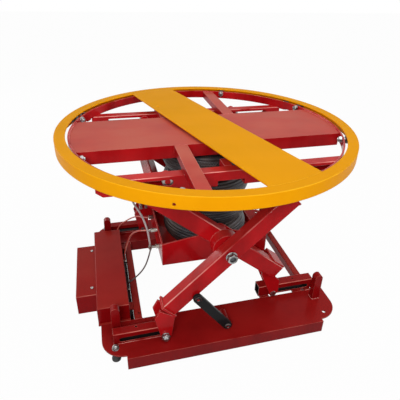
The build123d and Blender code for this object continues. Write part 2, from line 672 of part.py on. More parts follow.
# Upper links: bars from the inner legs to the middle of the top rails
with BuildPart() as upper_links:
    for side in SIDES:
        link_y = [sided(side, y) for y in (UPPER_LINK_NEAR, UPPER_LINK_FAR)]
        with BuildSketch(upright(*link_y)):
            with Locations((UPPER_PIN[0] / 2, (HEAD_Z + UPPER_PIN[1]) / 2)):
                SlotCenterToCenter(hypot(UPPER_PIN[0], HEAD_Z - UPPER_PIN[1]), 28,
                                   rotation=degrees(atan2(HEAD_Z - UPPER_PIN[1], -UPPER_PIN[0])))
            with Locations((0, HEAD_Z), UPPER_PIN):
                Circle(UPPER_PIN_R, mode=Mode.SUBTRACT)
        extrude(amount=UPPER_LINK_FAR - UPPER_LINK_NEAR)
upper_links.part.label = "upper_links"
export_step(upper_links.part, "parts/upper_links.step")

# Cradle: a folded tray that hangs on the pivot pins and carries the air bag
HUB_R = 30
CRADLE_END = 345
CRADLE_LEFT_TOP = 353
CRADLE_WALL_OUTLINE = ((CRADLE_LEFT, CRADLE_FLOOR), (CRADLE_RIGHT, CRADLE_FLOOR), (CRADLE_RIGHT, CRADLE_END),
                       (60, 380), (24, 410), (-24, 410), (-50, 378), (CRADLE_LEFT, CRADLE_LEFT_TOP))

with BuildPart() as bag_cradle:
    with BuildSketch(Plane.XY.offset(CRADLE_FLOOR)):
        with Locations(((CRADLE_LEFT + CRADLE_RIGHT) / 2, 0)):
            Rectangle(CRADLE_RIGHT - CRADLE_LEFT, 2 * CRADLE_HALF)
    extrude(amount=CRADLE_SHEET)
    with BuildSketch(Plane.YZ.offset(CRADLE_LEFT)):
        with Locations((0, (CRADLE_FLOOR + CRADLE_LEFT_TOP) / 2)):
            Rectangle(2 * CRADLE_HALF, CRADLE_LEFT_TOP - CRADLE_FLOOR)
    extrude(amount=CRADLE_SHEET)
    with BuildSketch(Plane.YZ.offset(CRADLE_RIGHT - CRADLE_SHEET)):
        with Locations((0, CRADLE_FLOOR + 20)):
            Rectangle(2 * CRADLE_HALF, 40)
    extrude(amount=CRADLE_SHEET)
    for side in SIDES:
        wall_y = [sided(side, y) for y in (CRADLE_HALF - CRADLE_SHEET, CRADLE_HALF)]
        with BuildSketch(upright(*wall_y)):
            Polygon(*CRADLE_WALL_OUTLINE, align=None)
        extrude(amount=CRADLE_SHEET)
        hub_y = [sided(side, y) for y in (CRADLE_HALF, INNER_NEAR - 1)]
        with BuildSketch(upright(*hub_y)):
            with Locations((0, PIVOT_Z)):
                Circle(HUB_R)
        extrude(amount=INNER_NEAR - 1 - CRADLE_HALF)
    with BuildSketch(Plane.XZ.offset(-INNER_NEAR)):
        with Locations((0, PIVOT_Z)):
            Circle(PIN_R + FIT)
    extrude(amount=2 * INNER_NEAR, mode=Mode.SUBTRACT)
bag_cradle.part.label = "bag_cradle"
export_step(bag_cradle.part, "parts/bag_cradle.step")

# Cradle: pivot pins, each with a washer and nut outside the outer leg
WASHER_FAR = OUTER_FAR + 4
NUT_FAR = WASHER_FAR + 12
PIN_HEAD_NEAR = CRADLE_HALF - CRADLE_SHEET - 6

with BuildPart() as pivot_pins:
    for side in SIDES:
        pin_y = [sided(side, PIN_HEAD_NEAR), sided(side, NUT_FAR - 1, REAR_SETBACK)]
        with BuildSketch(upright(*pin_y)):
            with Locations((0, PIVOT_Z)):
                Circle(PIN_R)
        extrude(amount=abs(pin_y[0] - pin_y[1]))
        head_y = [sided(side, y) for y in (PIN_HEAD_NEAR, CRADLE_HALF - CRADLE_SHEET)]
        with BuildSketch(upright(*head_y)):
            with Locations((0, PIVOT_Z)):
                Circle(21)
        extrude(amount=abs(head_y[0] - head_y[1]))
pivot_pins.part.label = "pivot_pins"
export_step(pivot_pins.part, "parts/pivot_pins.step")

with BuildPart() as pivot_nuts:
    for side in SIDES:
        washer_y = [sided(side, y, REAR_SETBACK) for y in (OUTER_FAR + 0.5, WASHER_FAR)]
        with BuildSketch(upright(*washer_y)):
            with Locations((0, PIVOT_Z)):
                Circle(23)
        extrude(amount=abs(washer_y[0] - washer_y[1]))
        nut_y = [sided(side, y, REAR_SETBACK) for y in (WASHER_FAR, NUT_FAR)]
        with BuildSketch(upright(*nut_y)):
            with Locations((0, PIVOT_Z)):
                RegularPolygon(20.5, 6)
        extrude(amount=NUT_FAR - WASHER_FAR)
        bore_y = [sided(side, y, REAR_SETBACK) for y in (OUTER_FAR, NUT_FAR)]
        with BuildSketch(upright(*bore_y)):
            with Locations((0, PIVOT_Z)):
                Circle(PIN_R + FIT)
        extrude(amount=NUT_FAR - OUTER_FAR, mode=Mode.SUBTRACT)
pivot_nuts.part.label = "pivot_nuts"
export_step(pivot_nuts.part, "parts/pivot_nuts.step")

with BuildPart() as fitting_plate:
    with BuildSketch(upright(80, 85)):
        with Locations((-242, 350)):
            RectangleRounded(52, 80, 3)
    extrude(amount=5)
fitting_plate.part.label = "fitting_plate"
export_step(fitting_plate.part, "parts/fitting_plate.step")

# Air hoses: routes of straight runs, rounded by tangent arcs
HOSE_R = 3
LOOP_HOSE_R = 4
ROUTES = {
    "feed_hose": (HOSE_R, ((-350, -44, 20), (-351, -50, 51), (-331, -66, 86), (-306, -82, 120),
                           (-281, -98, 163), (-262, -110, 216), (-250.5, -120, 275))),
    "loop_hose": (LOOP_HOSE_R, ((-251, -120, 303), (-254, -112, 345), (-263, -85, 385), (-278, -50, 413),
                                (-298, -6, 430), (-304, 38, 437), (-284, 66, 418), (-262, 70, 374))),
    "return_hose": (HOSE_R, ((-372, 284, 63), (-372, 308, 72), (-362, 314, 106), (-343, 292, 144),
                             (-320, 256, 182), (-296, 208, 226), (-271, 150, 268), (-252, 94, 290),
                             (-232, 52, 318))),
    "valve_hose": (HOSE_R, ((-349, 106, 62), (-348, 98, 103), (-333, 78, 168), (-323, 50, 224),
                            (-311, 24, 262), (-291, -10, 297), (-272, -36, 314), (-246, -62, 329))),
}


def corner_radii(points):
    """The largest tangent arc radius that each corner's two runs leave room for."""
    radii = []
    for before, corner, after in zip(points, points[1:], points[2:]):
        run_in = corner - before
        run_out = after - corner
        half_turn = radians(run_in.get_angle(run_out) / 2)
        radii.append(0.45 * min(run_in.length, run_out.length) / tan(half_turn))
    return radii


for name, (radius, route) in ROUTES.items():
    points = [Vector(*point) for point in route]
    radii = corner_radii(points)
    with BuildPart() as hose:
        with BuildLine() as path:
            FilletPolyline(*points, radius=radii)
        with BuildSketch(Plane(origin=points[0], z_dir=points[1] - points[0])):
            Circle(radius)
        sweep()
    run_length = path.wires()[0].length
    share = hose.part.volume / (pi * radius ** 2 * run_length)
    print(name, "length", round(run_length, 1), "share", round(share, 4), "radii", [round(r) for r in radii])
    hose.part.label = name
    export_step(hose.part, f"parts/{name}.step")

# Fittings: a barb in line with each hose end, on a body fixed to the base or to the cradle
BARB_R = 4.5
BARB_LENGTH = 9
BARB_GAP = 0.3


def hose_end(name, last):
    """Plane for the barb at a hose's first or last point, facing away from the hose."""
    points = [Vector(*point) for point in ROUTES[name][1]]
    if last:
        outward = (points[-1] - points[-2]).normalized()
        return Plane(origin=points[-1] + outward * BARB_GAP, z_dir=outward)
    outward = (points[0] - points[1]).normalized()
    return Plane(origin=points[0] + outward * BARB_GAP, z_dir=outward)


with BuildPart() as air_fittings:
    for name in ("feed_hose", "valve_hose", "return_hose"):
        with BuildSketch(hose_end(name, False)):
            Circle(BARB_R)
        extrude(amount=BARB_LENGTH)
    with Locations((-344.5, -42, 13)):
        Box(11, 9, 8)
    with Locations((-344.5, 108, 50)):
        Box(11, 10, 12)
    with BuildSketch(Plane.XZ.offset(-278)):
        with Locations((-372, 61.5)):
            RegularPolygon(7, 6)
    extrude(amount=8)
    with BuildSketch(Plane.XZ.offset(-BOX_Y[1] - 14)):
        with Locations((-520, 62)):
            Circle(9)
            Circle(5, mode=Mode.SUBTRACT)
    extrude(amount=14)
air_fittings.part.label = "air_fittings"
export_step(air_fittings.part, "parts/air_fittings.step")

TEE = (-251, -120, 289)

with BuildPart() as cradle_fittings:
    with BuildSketch(Plane.YZ.offset(TEE[0])):
        with Locations((TEE[1], TEE[2])):
            Circle(5.5)
    extrude(amount=CRADLE_LEFT - TEE[0])
    with BuildSketch(Plane.YZ.offset(CRADLE_LEFT - 12)):
        with Locations((TEE[1], TEE[2])):
            RegularPolygon(9, 6)
    extrude(amount=12)
    with BuildSketch(Plane(origin=(TEE[0], TEE[1], TEE[2] - 7))):
        Circle(7)
    extrude(amount=14)
    for name, last in (("feed_hose", True), ("loop_hose", False), ("loop_hose", True)):
        with BuildSketch(hose_end(name, last)):
            Circle(BARB_R)
        extrude(amount=BARB_LENGTH)
    with Locations((-262, 74, 360)):
        Box(11, 12, 14)
    with Locations((-240, 74, 362)):
        Box(11, 12, 16)
    with Locations((-240, 71, 370)):
        Cylinder(4, 12, align=(Align.CENTER, Align.CENTER, Align.MIN))
    with BuildSketch(hose_end("return_hose", True)):
        Circle(BARB_R)
    extrude(amount=BARB_LENGTH)
    with Locations((-225, 42, 325)):
        Box(18, 12, 14)
    with BuildSketch(hose_end("valve_hose", True)):
        Circle(BARB_R)
    extrude(amount=BARB_LENGTH)
    with BuildSketch(Plane.YZ.offset(-240)):
        with Locations((-66, 331)):
            RegularPolygon(7.5, 6)
    extrude(amount=CRADLE_LEFT + 240)
cradle_fittings.part.label = "cradle_fittings"
export_step(cradle_fittings.part, "parts/cradle_fittings.step")

# Top frame: a wide inverted channel across the ring, with the air bag's seat under it
BAG_SEAT_HALF = 110

with BuildPart() as top_plate:
    with BuildSketch(Plane.XY.offset(DECK_PLATE_TOP - 6)):
        Circle(BAND_IN)
        Rectangle(2 * BAND_IN, 2 * DECK_PLATE_HALF, mode=Mode.INTERSECT)
    extrude(amount=6)
    with BuildSketch(Plane.XY.offset(FLANGE_BOTTOM)):
        Circle(BAND_IN)
        Rectangle(2 * BAND_IN, 2 * DECK_PLATE_HALF, mode=Mode.INTERSECT)
        Rectangle(2 * BAND_IN, 2 * DECK_PLATE_HALF - 12, mode=Mode.SUBTRACT)
    extrude(amount=DECK_PLATE_TOP - 6 - FLANGE_BOTTOM)
    with BuildSketch(Plane.XY.offset(BAG_TOP + GAP)):
        RectangleRounded(2 * BAG_SEAT_HALF, 2 * BAG_SEAT_HALF, 12)
    extrude(amount=DECK_PLATE_TOP - 6 - BAG_TOP - GAP)
top_plate.part.label = "top_plate"
export_step(top_plate.part, "parts/top_plate.step")

# Top frame: slotted rails for the head rollers, with the upper link's lug at mid length
# and a relief under it that clears the pivot's spacer disc when the table is down
RAIL_SLOTS = ((-362, -190), (190, 362))
RELIEF_HALF = 46
RELIEF_HEIGHT = 20
rail_tubes = {side: box_track((-RAIL_HALF, RAIL_HALF), [sided(side, y) for y in (RAIL_NEAR, RAIL_FAR)],
                              (RAIL_BOTTOM, RAIL_TOP), RAIL_WALL, RAIL_SLOTS, HEAD_Z) for side in SIDES}

for side in SIDES:
    with BuildPart() as top_rail:
        add(rail_tubes[side].part)
        rail_y = [sided(side, y) for y in (RAIL_NEAR, RAIL_FAR)]
        for end in (-1, 1):
            with BuildSketch(upright(*rail_y)):
                Polygon((end * (RAIL_HALF + 1), RAIL_BOTTOM - 1), (end * 403, RAIL_BOTTOM - 1),
                        (end * (RAIL_HALF + 1), RAIL_BOTTOM + 19), align=None)
            extrude(amount=RAIL_FAR - RAIL_NEAR, mode=Mode.SUBTRACT)
        with BuildSketch(upright(*rail_y)):
            with Locations((0, RAIL_BOTTOM)):
                Rectangle(2 * RELIEF_HALF, 2 * RELIEF_HEIGHT)
        extrude(amount=RAIL_FAR - RAIL_NEAR, mode=Mode.SUBTRACT)
        lug_y = [sided(side, y) for y in (UPPER_LINK_FAR + 1.5, RAIL_NEAR)]
        with BuildSketch(upright(*lug_y)):
            with Locations((0, (HEAD_Z + RAIL_TOP) / 2)):
                Rectangle(2 * LUG_R, RAIL_TOP - HEAD_Z)
            with Locations((0, HEAD_Z)):
                Circle(LUG_R)
        extrude(amount=RAIL_NEAR - UPPER_LINK_FAR - 1.5)
        pin_y = [sided(side, y) for y in (UPPER_LINK_NEAR - 4, RAIL_NEAR - 2)]
        with BuildSketch(upright(*pin_y)):
            with Locations((0, HEAD_Z)):
                Circle(UPPER_PIN_R - FIT)
        extrude(amount=abs(pin_y[0] - pin_y[1]))
        cap_y = [sided(side, y) for y in (UPPER_LINK_NEAR - 4, UPPER_LINK_NEAR - GAP)]
        with BuildSketch(upright(*cap_y)):
            with Locations((0, HEAD_Z)):
                Circle(10)
        extrude(amount=abs(cap_y[0] - cap_y[1]))
    top_rail.part.label = f"{side}_top_rail"
    export_step(top_rail.part, f"parts/{side}_top_rail.step")

# Top frame: cross bars over the rails, from the plate's flanges out to the band
BAR_X = 132
BAR_WIDTH = 46

with BuildPart() as cross_bars:
    with BuildSketch(Plane.XY.offset(RAIL_TOP)):
        Circle(BAND_IN)
        Rectangle(2 * (BAR_X + BAR_WIDTH / 2), 2 * BAND_IN, mode=Mode.INTERSECT)
        Rectangle(2 * (BAR_X - BAR_WIDTH / 2), 2 * BAND_IN, mode=Mode.SUBTRACT)
        Rectangle(2 * BAND_IN, 2 * DECK_PLATE_HALF, mode=Mode.SUBTRACT)
    extrude(amount=DECK_PLATE_TOP - RAIL_TOP)
cross_bars.part.label = "cross_bars"
export_step(cross_bars.part, "parts/cross_bars.step")

# Top frame: the rolled band, drilled for the ring rollers' axles
ring_azimuths = [360 / RING_ROLLERS * (index + 0.5) for index in range(RING_ROLLERS)]
RING_AXLE_R = 5


def radial_plane(azimuth, radius, height):
    """Plane square to a radius of the ring, facing outwards."""
    out = (cos(radians(azimuth)), sin(radians(azimuth)), 0)
    return Plane(origin=(out[0] * radius, out[1] * radius, height), x_dir=(-out[1], out[0], 0), z_dir=out)


with BuildPart() as ring_band:
    with BuildSketch(Plane.XY.offset(RAIL_TOP)):
        Circle(BAND_OUT)
        Circle(BAND_IN, mode=Mode.SUBTRACT)
    extrude(amount=BAND_TOP - RAIL_TOP)
    for azimuth in ring_azimuths:
        with BuildSketch(radial_plane(azimuth, BAND_IN - 4, RING_AXLE_Z)):
            Circle(RING_AXLE_R + FIT)
        extrude(amount=16, mode=Mode.SUBTRACT)
ring_band.part.label = "ring_band"
export_step(ring_band.part, "parts/ring_band.step")

# Top frame: ring roller axles, each with its nut inside the band and its head outside
ROLLER_IN = 516
ROLLER_OUT = 541
COLLAR_R = 9
AXLE_END = 488
AXLE_NUT = 492
AXLE_TIP = 546

with BuildPart() as ring_axles:
    for azimuth in ring_azimuths:
        with BuildSketch(radial_plane(azimuth, AXLE_END, RING_AXLE_Z)):
            Circle(RING_AXLE_R)
        extrude(amount=AXLE_TIP - AXLE_END)
        with BuildSketch(radial_plane(azimuth, AXLE_NUT, RING_AXLE_Z)):
            RegularPolygon(9.5, 6)
        extrude(amount=BAND_IN - AXLE_NUT - 1)
        with BuildSketch(radial_plane(azimuth, BAND_OUT + 0.5, RING_AXLE_Z)):
            Circle(COLLAR_R)
        extrude(amount=ROLLER_IN - GAP - BAND_OUT - 0.5)
        with BuildSketch(radial_plane(azimuth, ROLLER_OUT + GAP, RING_AXLE_Z)):
            Circle(COLLAR_R)
        extrude(amount=AXLE_TIP - ROLLER_OUT - GAP)
ring_axles.part.label = "ring_axles"
export_step(ring_axles.part, "parts/ring_axles.step")

for index, azimuth in enumerate(ring_azimuths):
    with BuildPart() as ring_roller:
        with BuildSketch(radial_plane(azimuth, ROLLER_IN, RING_AXLE_Z)):
            Circle(RING_ROLLER_R)
            Circle(RING_AXLE_R + FIT, mode=Mode.SUBTRACT)
        extrude(amount=ROLLER_OUT - ROLLER_IN)
        rims = ring_roller.edges().filter_by(GeomType.CIRCLE)
        chamfer(rims.filter_by(lambda e: e.radius > RING_AXLE_R + 1), 1.5)
    ring_roller.part.label = f"ring_roller_{index + 1}"
    export_step(ring_roller.part, f"parts/ring_roller_{index + 1}.step")

# Top frame: brackets and pins of the upright guide rollers that centre the ring
TAB_Z = 695
TAB_SHEET = 4
TAB_WIDTH = 26
TAB_TIP = 546
PIN_LOW = 686
NUT_LOW = 688
GUIDE_PIN_R = 5
GUIDE_LOW = 701
GUIDE_HIGH = 729

with BuildPart() as guide_brackets:
    for azimuth in GUIDE_AZIMUTHS:
        with BuildSketch(radial_plane(azimuth, BAND_IN - 1, TAB_Z + TAB_SHEET / 2)):
            Rectangle(TAB_WIDTH, TAB_SHEET)
        extrude(amount=TAB_TIP - BAND_IN + 1)
        x, y = GUIDE_RADIUS * cos(radians(azimuth)), GUIDE_RADIUS * sin(radians(azimuth))
        with BuildSketch(Plane(origin=(x, y, PIN_LOW))):
            Circle(GUIDE_PIN_R)
        extrude(amount=GUIDE_HIGH + 3 - PIN_LOW)
        with BuildSketch(Plane(origin=(x, y, NUT_LOW))):
            RegularPolygon(9.5, 6)
        extrude(amount=TAB_Z - NUT_LOW)
        with BuildSketch(Plane(origin=(x, y, TAB_Z + TAB_SHEET))):
            Circle(8)
        extrude(amount=GUIDE_LOW - GAP - TAB_Z - TAB_SHEET)
        with BuildSketch(Plane(origin=(x, y, GUIDE_HIGH + GAP))):
            Circle(8)
        extrude(amount=3)
guide_brackets.part.label = "guide_brackets"
export_step(guide_brackets.part, "parts/guide_brackets.step")

for index, azimuth in enumerate(GUIDE_AZIMUTHS):
    x, y = GUIDE_RADIUS * cos(radians(azimuth)), GUIDE_RADIUS * sin(radians(azimuth))
    with BuildPart() as guide_roller:
        with BuildSketch(Plane(origin=(x, y, GUIDE_LOW))):
            Circle(GUIDE_ROLLER_R)
            Circle(GUIDE_PIN_R + FIT, mode=Mode.SUBTRACT)
        extrude(amount=GUIDE_HIGH - GUIDE_LOW)
        rims = guide_roller.edges().filter_by(GeomType.CIRCLE)
        chamfer(rims.filter_by(lambda e: e.radius > GUIDE_PIN_R + 1), 1.5)
    guide_roller.part.label = f"guide_roller_{index + 1}"
    export_step(guide_roller.part, f"parts/guide_roller_{index + 1}.step")

# Air bag: a convoluted wall under a top disc, open over the cradle's floor
BAG_BOTTOM = CRADLE_FLOOR + CRADLE_SHEET + GAP
BAG_WALL = 8
lobe_height = (BAG_TOP - BAG_BOTTOM) / BAG_LOBES

with BuildPart() as air_bag:
    with BuildSketch(Plane.XZ):
        with BuildLine():
            ends = (BAG_WAIST, BAG_BOTTOM), (BAG_WAIST, BAG_TOP)
            Polyline(ends[0], (0, BAG_BOTTOM), (0, BAG_TOP), ends[1])
            for lobe in range(BAG_LOBES):
                low = BAG_BOTTOM + lobe * lobe_height
                high = low + lobe_height
                ThreePointArc((BAG_WAIST, low), (BAG_R, (low + high) / 2), (BAG_WAIST, high))
        make_face()
    revolve(axis=Axis.Z)
    with BuildSketch(Plane.XY.offset(BAG_BOTTOM)):
        Circle(BAG_WAIST - BAG_WALL)
    extrude(amount=BAG_TOP - BAG_BOTTOM - BAG_WALL, mode=Mode.SUBTRACT)
air_bag.part.label = "air_bag"
export_step(air_bag.part, "parts/air_bag.step")

# Ring: a rolled angle section, and the flat strap across it
with BuildPart() as turntable_ring:
    with BuildSketch(Plane.XZ):
        with Locations(((RING_IN + RING_R) / 2, RING_TOP - STEEL / 2)):
            Rectangle(RING_R - RING_IN, STEEL)
        with Locations((RING_R - STEEL / 2, (RING_BOTTOM + RING_TOP) / 2)):
            Rectangle(STEEL, RING_TOP - RING_BOTTOM)
    revolve(axis=Axis.Z)
    corner = turntable_ring.edges().filter_by(GeomType.CIRCLE).filter_by(
        lambda e: e.radius > RING_R - 1 and e.center().Z > RING_TOP - 1)
    fillet(corner, 2)
    with BuildSketch(radial_plane(-113.7, RING_R - STEEL - 2, 710)):
        Circle(5)
    extrude(amount=STEEL + 4, mode=Mode.SUBTRACT)
turntable_ring.part.label = "turntable_ring"
export_step(turntable_ring.part, "parts/turntable_ring.step")

with BuildPart() as deck_strap:
    with BuildSketch(Plane.XY.offset(RING_TOP - STEEL)):
        Circle(RING_IN)
        Rectangle(STRAP_WIDTH, 2 * RING_IN, rotation=STRAP_TURN, mode=Mode.INTERSECT)
        with Locations((-150, 256)):
            Circle(5, mode=Mode.SUBTRACT)
    extrude(amount=STEEL)
deck_strap.part.label = "deck_strap"
export_step(deck_strap.part, "parts/deck_strap.step")
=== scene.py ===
"""A raised, air-sprung scissor lift table with a turning deck ring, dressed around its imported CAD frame."""

import logging
import math
from collections.abc import Sequence
from dataclasses import dataclass, field, replace
from enum import Enum
from typing import ClassVar

import bmesh
import bpy
from mathutils import Matrix, Vector


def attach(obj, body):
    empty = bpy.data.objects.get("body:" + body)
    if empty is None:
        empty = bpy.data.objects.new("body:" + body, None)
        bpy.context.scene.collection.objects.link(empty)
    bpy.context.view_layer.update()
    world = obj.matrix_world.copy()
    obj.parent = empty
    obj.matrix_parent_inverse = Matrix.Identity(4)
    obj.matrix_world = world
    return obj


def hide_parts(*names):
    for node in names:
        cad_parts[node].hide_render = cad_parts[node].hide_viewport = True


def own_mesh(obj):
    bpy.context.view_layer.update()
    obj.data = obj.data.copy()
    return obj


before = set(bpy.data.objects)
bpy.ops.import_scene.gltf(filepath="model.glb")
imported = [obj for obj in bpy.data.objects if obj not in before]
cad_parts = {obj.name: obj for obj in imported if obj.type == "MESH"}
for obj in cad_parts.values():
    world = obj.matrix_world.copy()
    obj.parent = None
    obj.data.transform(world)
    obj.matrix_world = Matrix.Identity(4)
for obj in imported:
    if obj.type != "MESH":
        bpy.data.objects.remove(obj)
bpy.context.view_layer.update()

LOG = logging.getLogger("lift_table")

MM = 0.001
Colour = tuple[float, float, float]
Point = tuple[float, float, float]


class Body(Enum):
    """The moving bodies that pieces ride on."""

    BASE = "base"
    OUTER_LEGS = "outer_legs"
    INNER_LEGS = "inner_legs"
    LOWER_LINKS = "lower_links"
    UPPER_LINKS = "upper_links"
    CRADLE = "cradle"
    TOP_FRAME = "top_frame"
    TURNTABLE = "turntable"


class Head(Enum):
    """The kinds of fastener head."""

    HEX_NUT = "hex_nut"
    DOME_NUT = "dome_nut"
    SCREW = "screw"
    BUTTON = "button"
    WASHER = "washer"


def mm(points: Sequence[Point]) -> list[Vector]:
    """Points given in millimetres, in metres."""
    return [Vector(point) * MM for point in points]


# Shader expressions

class Wire:
    """A socket that shader maths can be written with."""

    def __init__(self, shader: "Shader", socket: bpy.types.NodeSocket | None) -> None:
        """Keep the shader and its socket, which an output node doesn't have."""
        self.shader = shader
        self.socket = socket

    def _math(self, operation: str, *values: "Wire | float") -> "Wire":
        """Add a Math node.

        Args:
            operation: The Math node's operation.
            values: Its inputs in order.

        Returns:
            The node's result.
        """
        inputs = dict(enumerate(values))
        return self.shader.node("ShaderNodeMath", {"operation": operation}, inputs)

    def __add__(self, other: "Wire | float") -> "Wire":
        """Sum."""
        return self._math("ADD", self, other)

    def __radd__(self, other: float) -> "Wire":
        """Sum, reflected."""
        return self._math("ADD", other, self)

    def __sub__(self, other: "Wire | float") -> "Wire":
        """Difference."""
        return self._math("SUBTRACT", self, other)

    def __rsub__(self, other: float) -> "Wire":
        """Difference, reflected."""
        return self._math("SUBTRACT", other, self)

    def __mul__(self, other: "Wire | float") -> "Wire":
        """Product."""
        return self._math("MULTIPLY", self, other)

    def __rmul__(self, other: float) -> "Wire":
        """Product, reflected."""
        return self._math("MULTIPLY", other, self)

    def __truediv__(self, other: "Wire | float") -> "Wire":
        """Quotient."""
        return self._math("DIVIDE", self, other)

    def __rtruediv__(self, other: float) -> "Wire":
        """Quotient, reflected."""
        return self._math("DIVIDE", other, self)

    def __pow__(self, other: "Wire | float") -> "Wire":
        """Power."""
        return self._math("POWER", self, other)

    def absolute(self) -> "Wire":
        """The value without its sign."""
        return self._math("ABSOLUTE", self)

    def sine(self) -> "Wire":
        """Sine of the value in radians."""
        return self._math("SINE", self)

    def clamp(self) -> "Wire":
        """The value kept between 0 and 1."""
        return self.shader.node("ShaderNodeClamp", {}, {0: self})

    def step(self, low: float, high: float) -> "Wire":
        """A smooth rise from 0 at low to 1 at high."""
        settings = {"interpolation_type": "SMOOTHSTEP"}
        return self.shader.node("ShaderNodeMapRange", settings, {"Value": self, "From Min": low, "From Max": high})


class Shader:
    """Builds one material's nodes."""

    def __init__(self, name: str) -> None:
        """Start an empty material of that name."""
        self.material = bpy.data.materials.new(name)
        self.material.use_nodes = True
        self.tree = self.material.node_tree
        self.tree.nodes.clear()

    def node(self, kind: str, settings: dict, inputs: dict, output: int | str = 0) -> Wire:
        """Add any node.

        Args:
            kind: The node's type.
            settings: Its properties; "stops" holds a colour ramp's (place, colour) pairs.
            inputs: Values or wires by socket name or number.
            output: Which output to return.

        Returns:
            The chosen output.
        """
        made = self.tree.nodes.new(kind)
        for key, value in settings.items():
            if key == "stops":
                self._stops(made, value)
            else:
                setattr(made, key, value)
        for key, value in inputs.items():
            if isinstance(value, Wire):
                self.tree.links.new(value.socket, made.inputs[key])
            else:
                made.inputs[key].default_value = value
        return Wire(self, made.outputs[output] if len(made.outputs) else None)

    @staticmethod
    def _stops(ramp: bpy.types.Node, stops: Sequence[tuple[float, Colour]]) -> None:
        """Fill a colour ramp with its stops."""
        elements = ramp.color_ramp.elements
        while len(elements) < len(stops):
            elements.new(0.5)
        for element, (place, colour) in zip(elements, stops):
            element.position = place
            element.color = (*colour, 1)

    def place(self) -> Wire:
        """Object coordinates."""
        return self.node("ShaderNodeTexCoord", {}, {}, "Object")

    def part(self, vector: Wire, axis: str) -> Wire:
        """One part, X, Y or Z, of a vector."""
        return self.node("ShaderNodeSeparateXYZ", {}, {0: vector}, axis)

    def noise(self, scale: float, detail: float = 2.0, stretch: Point = (1, 1, 1)) -> Wire:
        """Smooth noise over the object's own space, from 0 to 1."""
        spot = self.node("ShaderNodeMapping", {}, {"Vector": self.place(), "Scale": stretch})
        return self.node("ShaderNodeTexNoise", {}, {"Vector": spot, "Scale": scale, "Detail": detail})

    def mix(self, share: Wire | float, first: Wire | Colour, second: Wire | Colour) -> Wire:
        """A colour between two others."""
        inputs = {0: share, 6: self._colour(first), 7: self._colour(second)}
        return self.node("ShaderNodeMix", {"data_type": "RGBA", "clamp_factor": True}, inputs, 2)

    @staticmethod
    def _colour(value: Wire | Colour) -> Wire | tuple[float, float, float, float]:
        """A wire as it is, or a colour with its alpha."""
        return value if isinstance(value, Wire) else (*value, 1)

    def edges(self, radius: float) -> tuple[Wire, Wire]:
        """Rounded edges.

        Args:
            radius: How far the rounding reaches, in metres.

        Returns:
            The rounded normal, and a mask that is 1 on the sharp edges.
        """
        rounded = self.node("ShaderNodeBevel", {"samples": 6}, {"Radius": radius}, "Normal")
        flat = self.node("ShaderNodeNewGeometry", {}, {}, "True Normal")
        along = self.node("ShaderNodeVectorMath", {"operation": "DOT_PRODUCT"}, {0: rounded, 1: flat}, "Value")
        return rounded, (1 - along).step(0.01, 0.22)

    def bump(self, height: Wire, distance: float, normal: Wire | None = None) -> Wire:
        """A normal bent by a height."""
        inputs = {"Height": height, "Distance": distance}
        if normal is not None:
            inputs["Normal"] = normal
        return self.node("ShaderNodeBump", {}, inputs, "Normal")

    def finish(self, constants: dict, inputs: dict) -> bpy.types.Material:
        """Close the material with a Principled shader.

        Args:
            constants: Socket values that are the same all over.
            inputs: Wires for the sockets that change over the surface.

        Returns:
            The material.
        """
        surface = self.node("ShaderNodeBsdfPrincipled", {}, constants | inputs)
        self.node("ShaderNodeOutputMaterial", {}, {"Surface": surface})
        return self.material


# Finishes

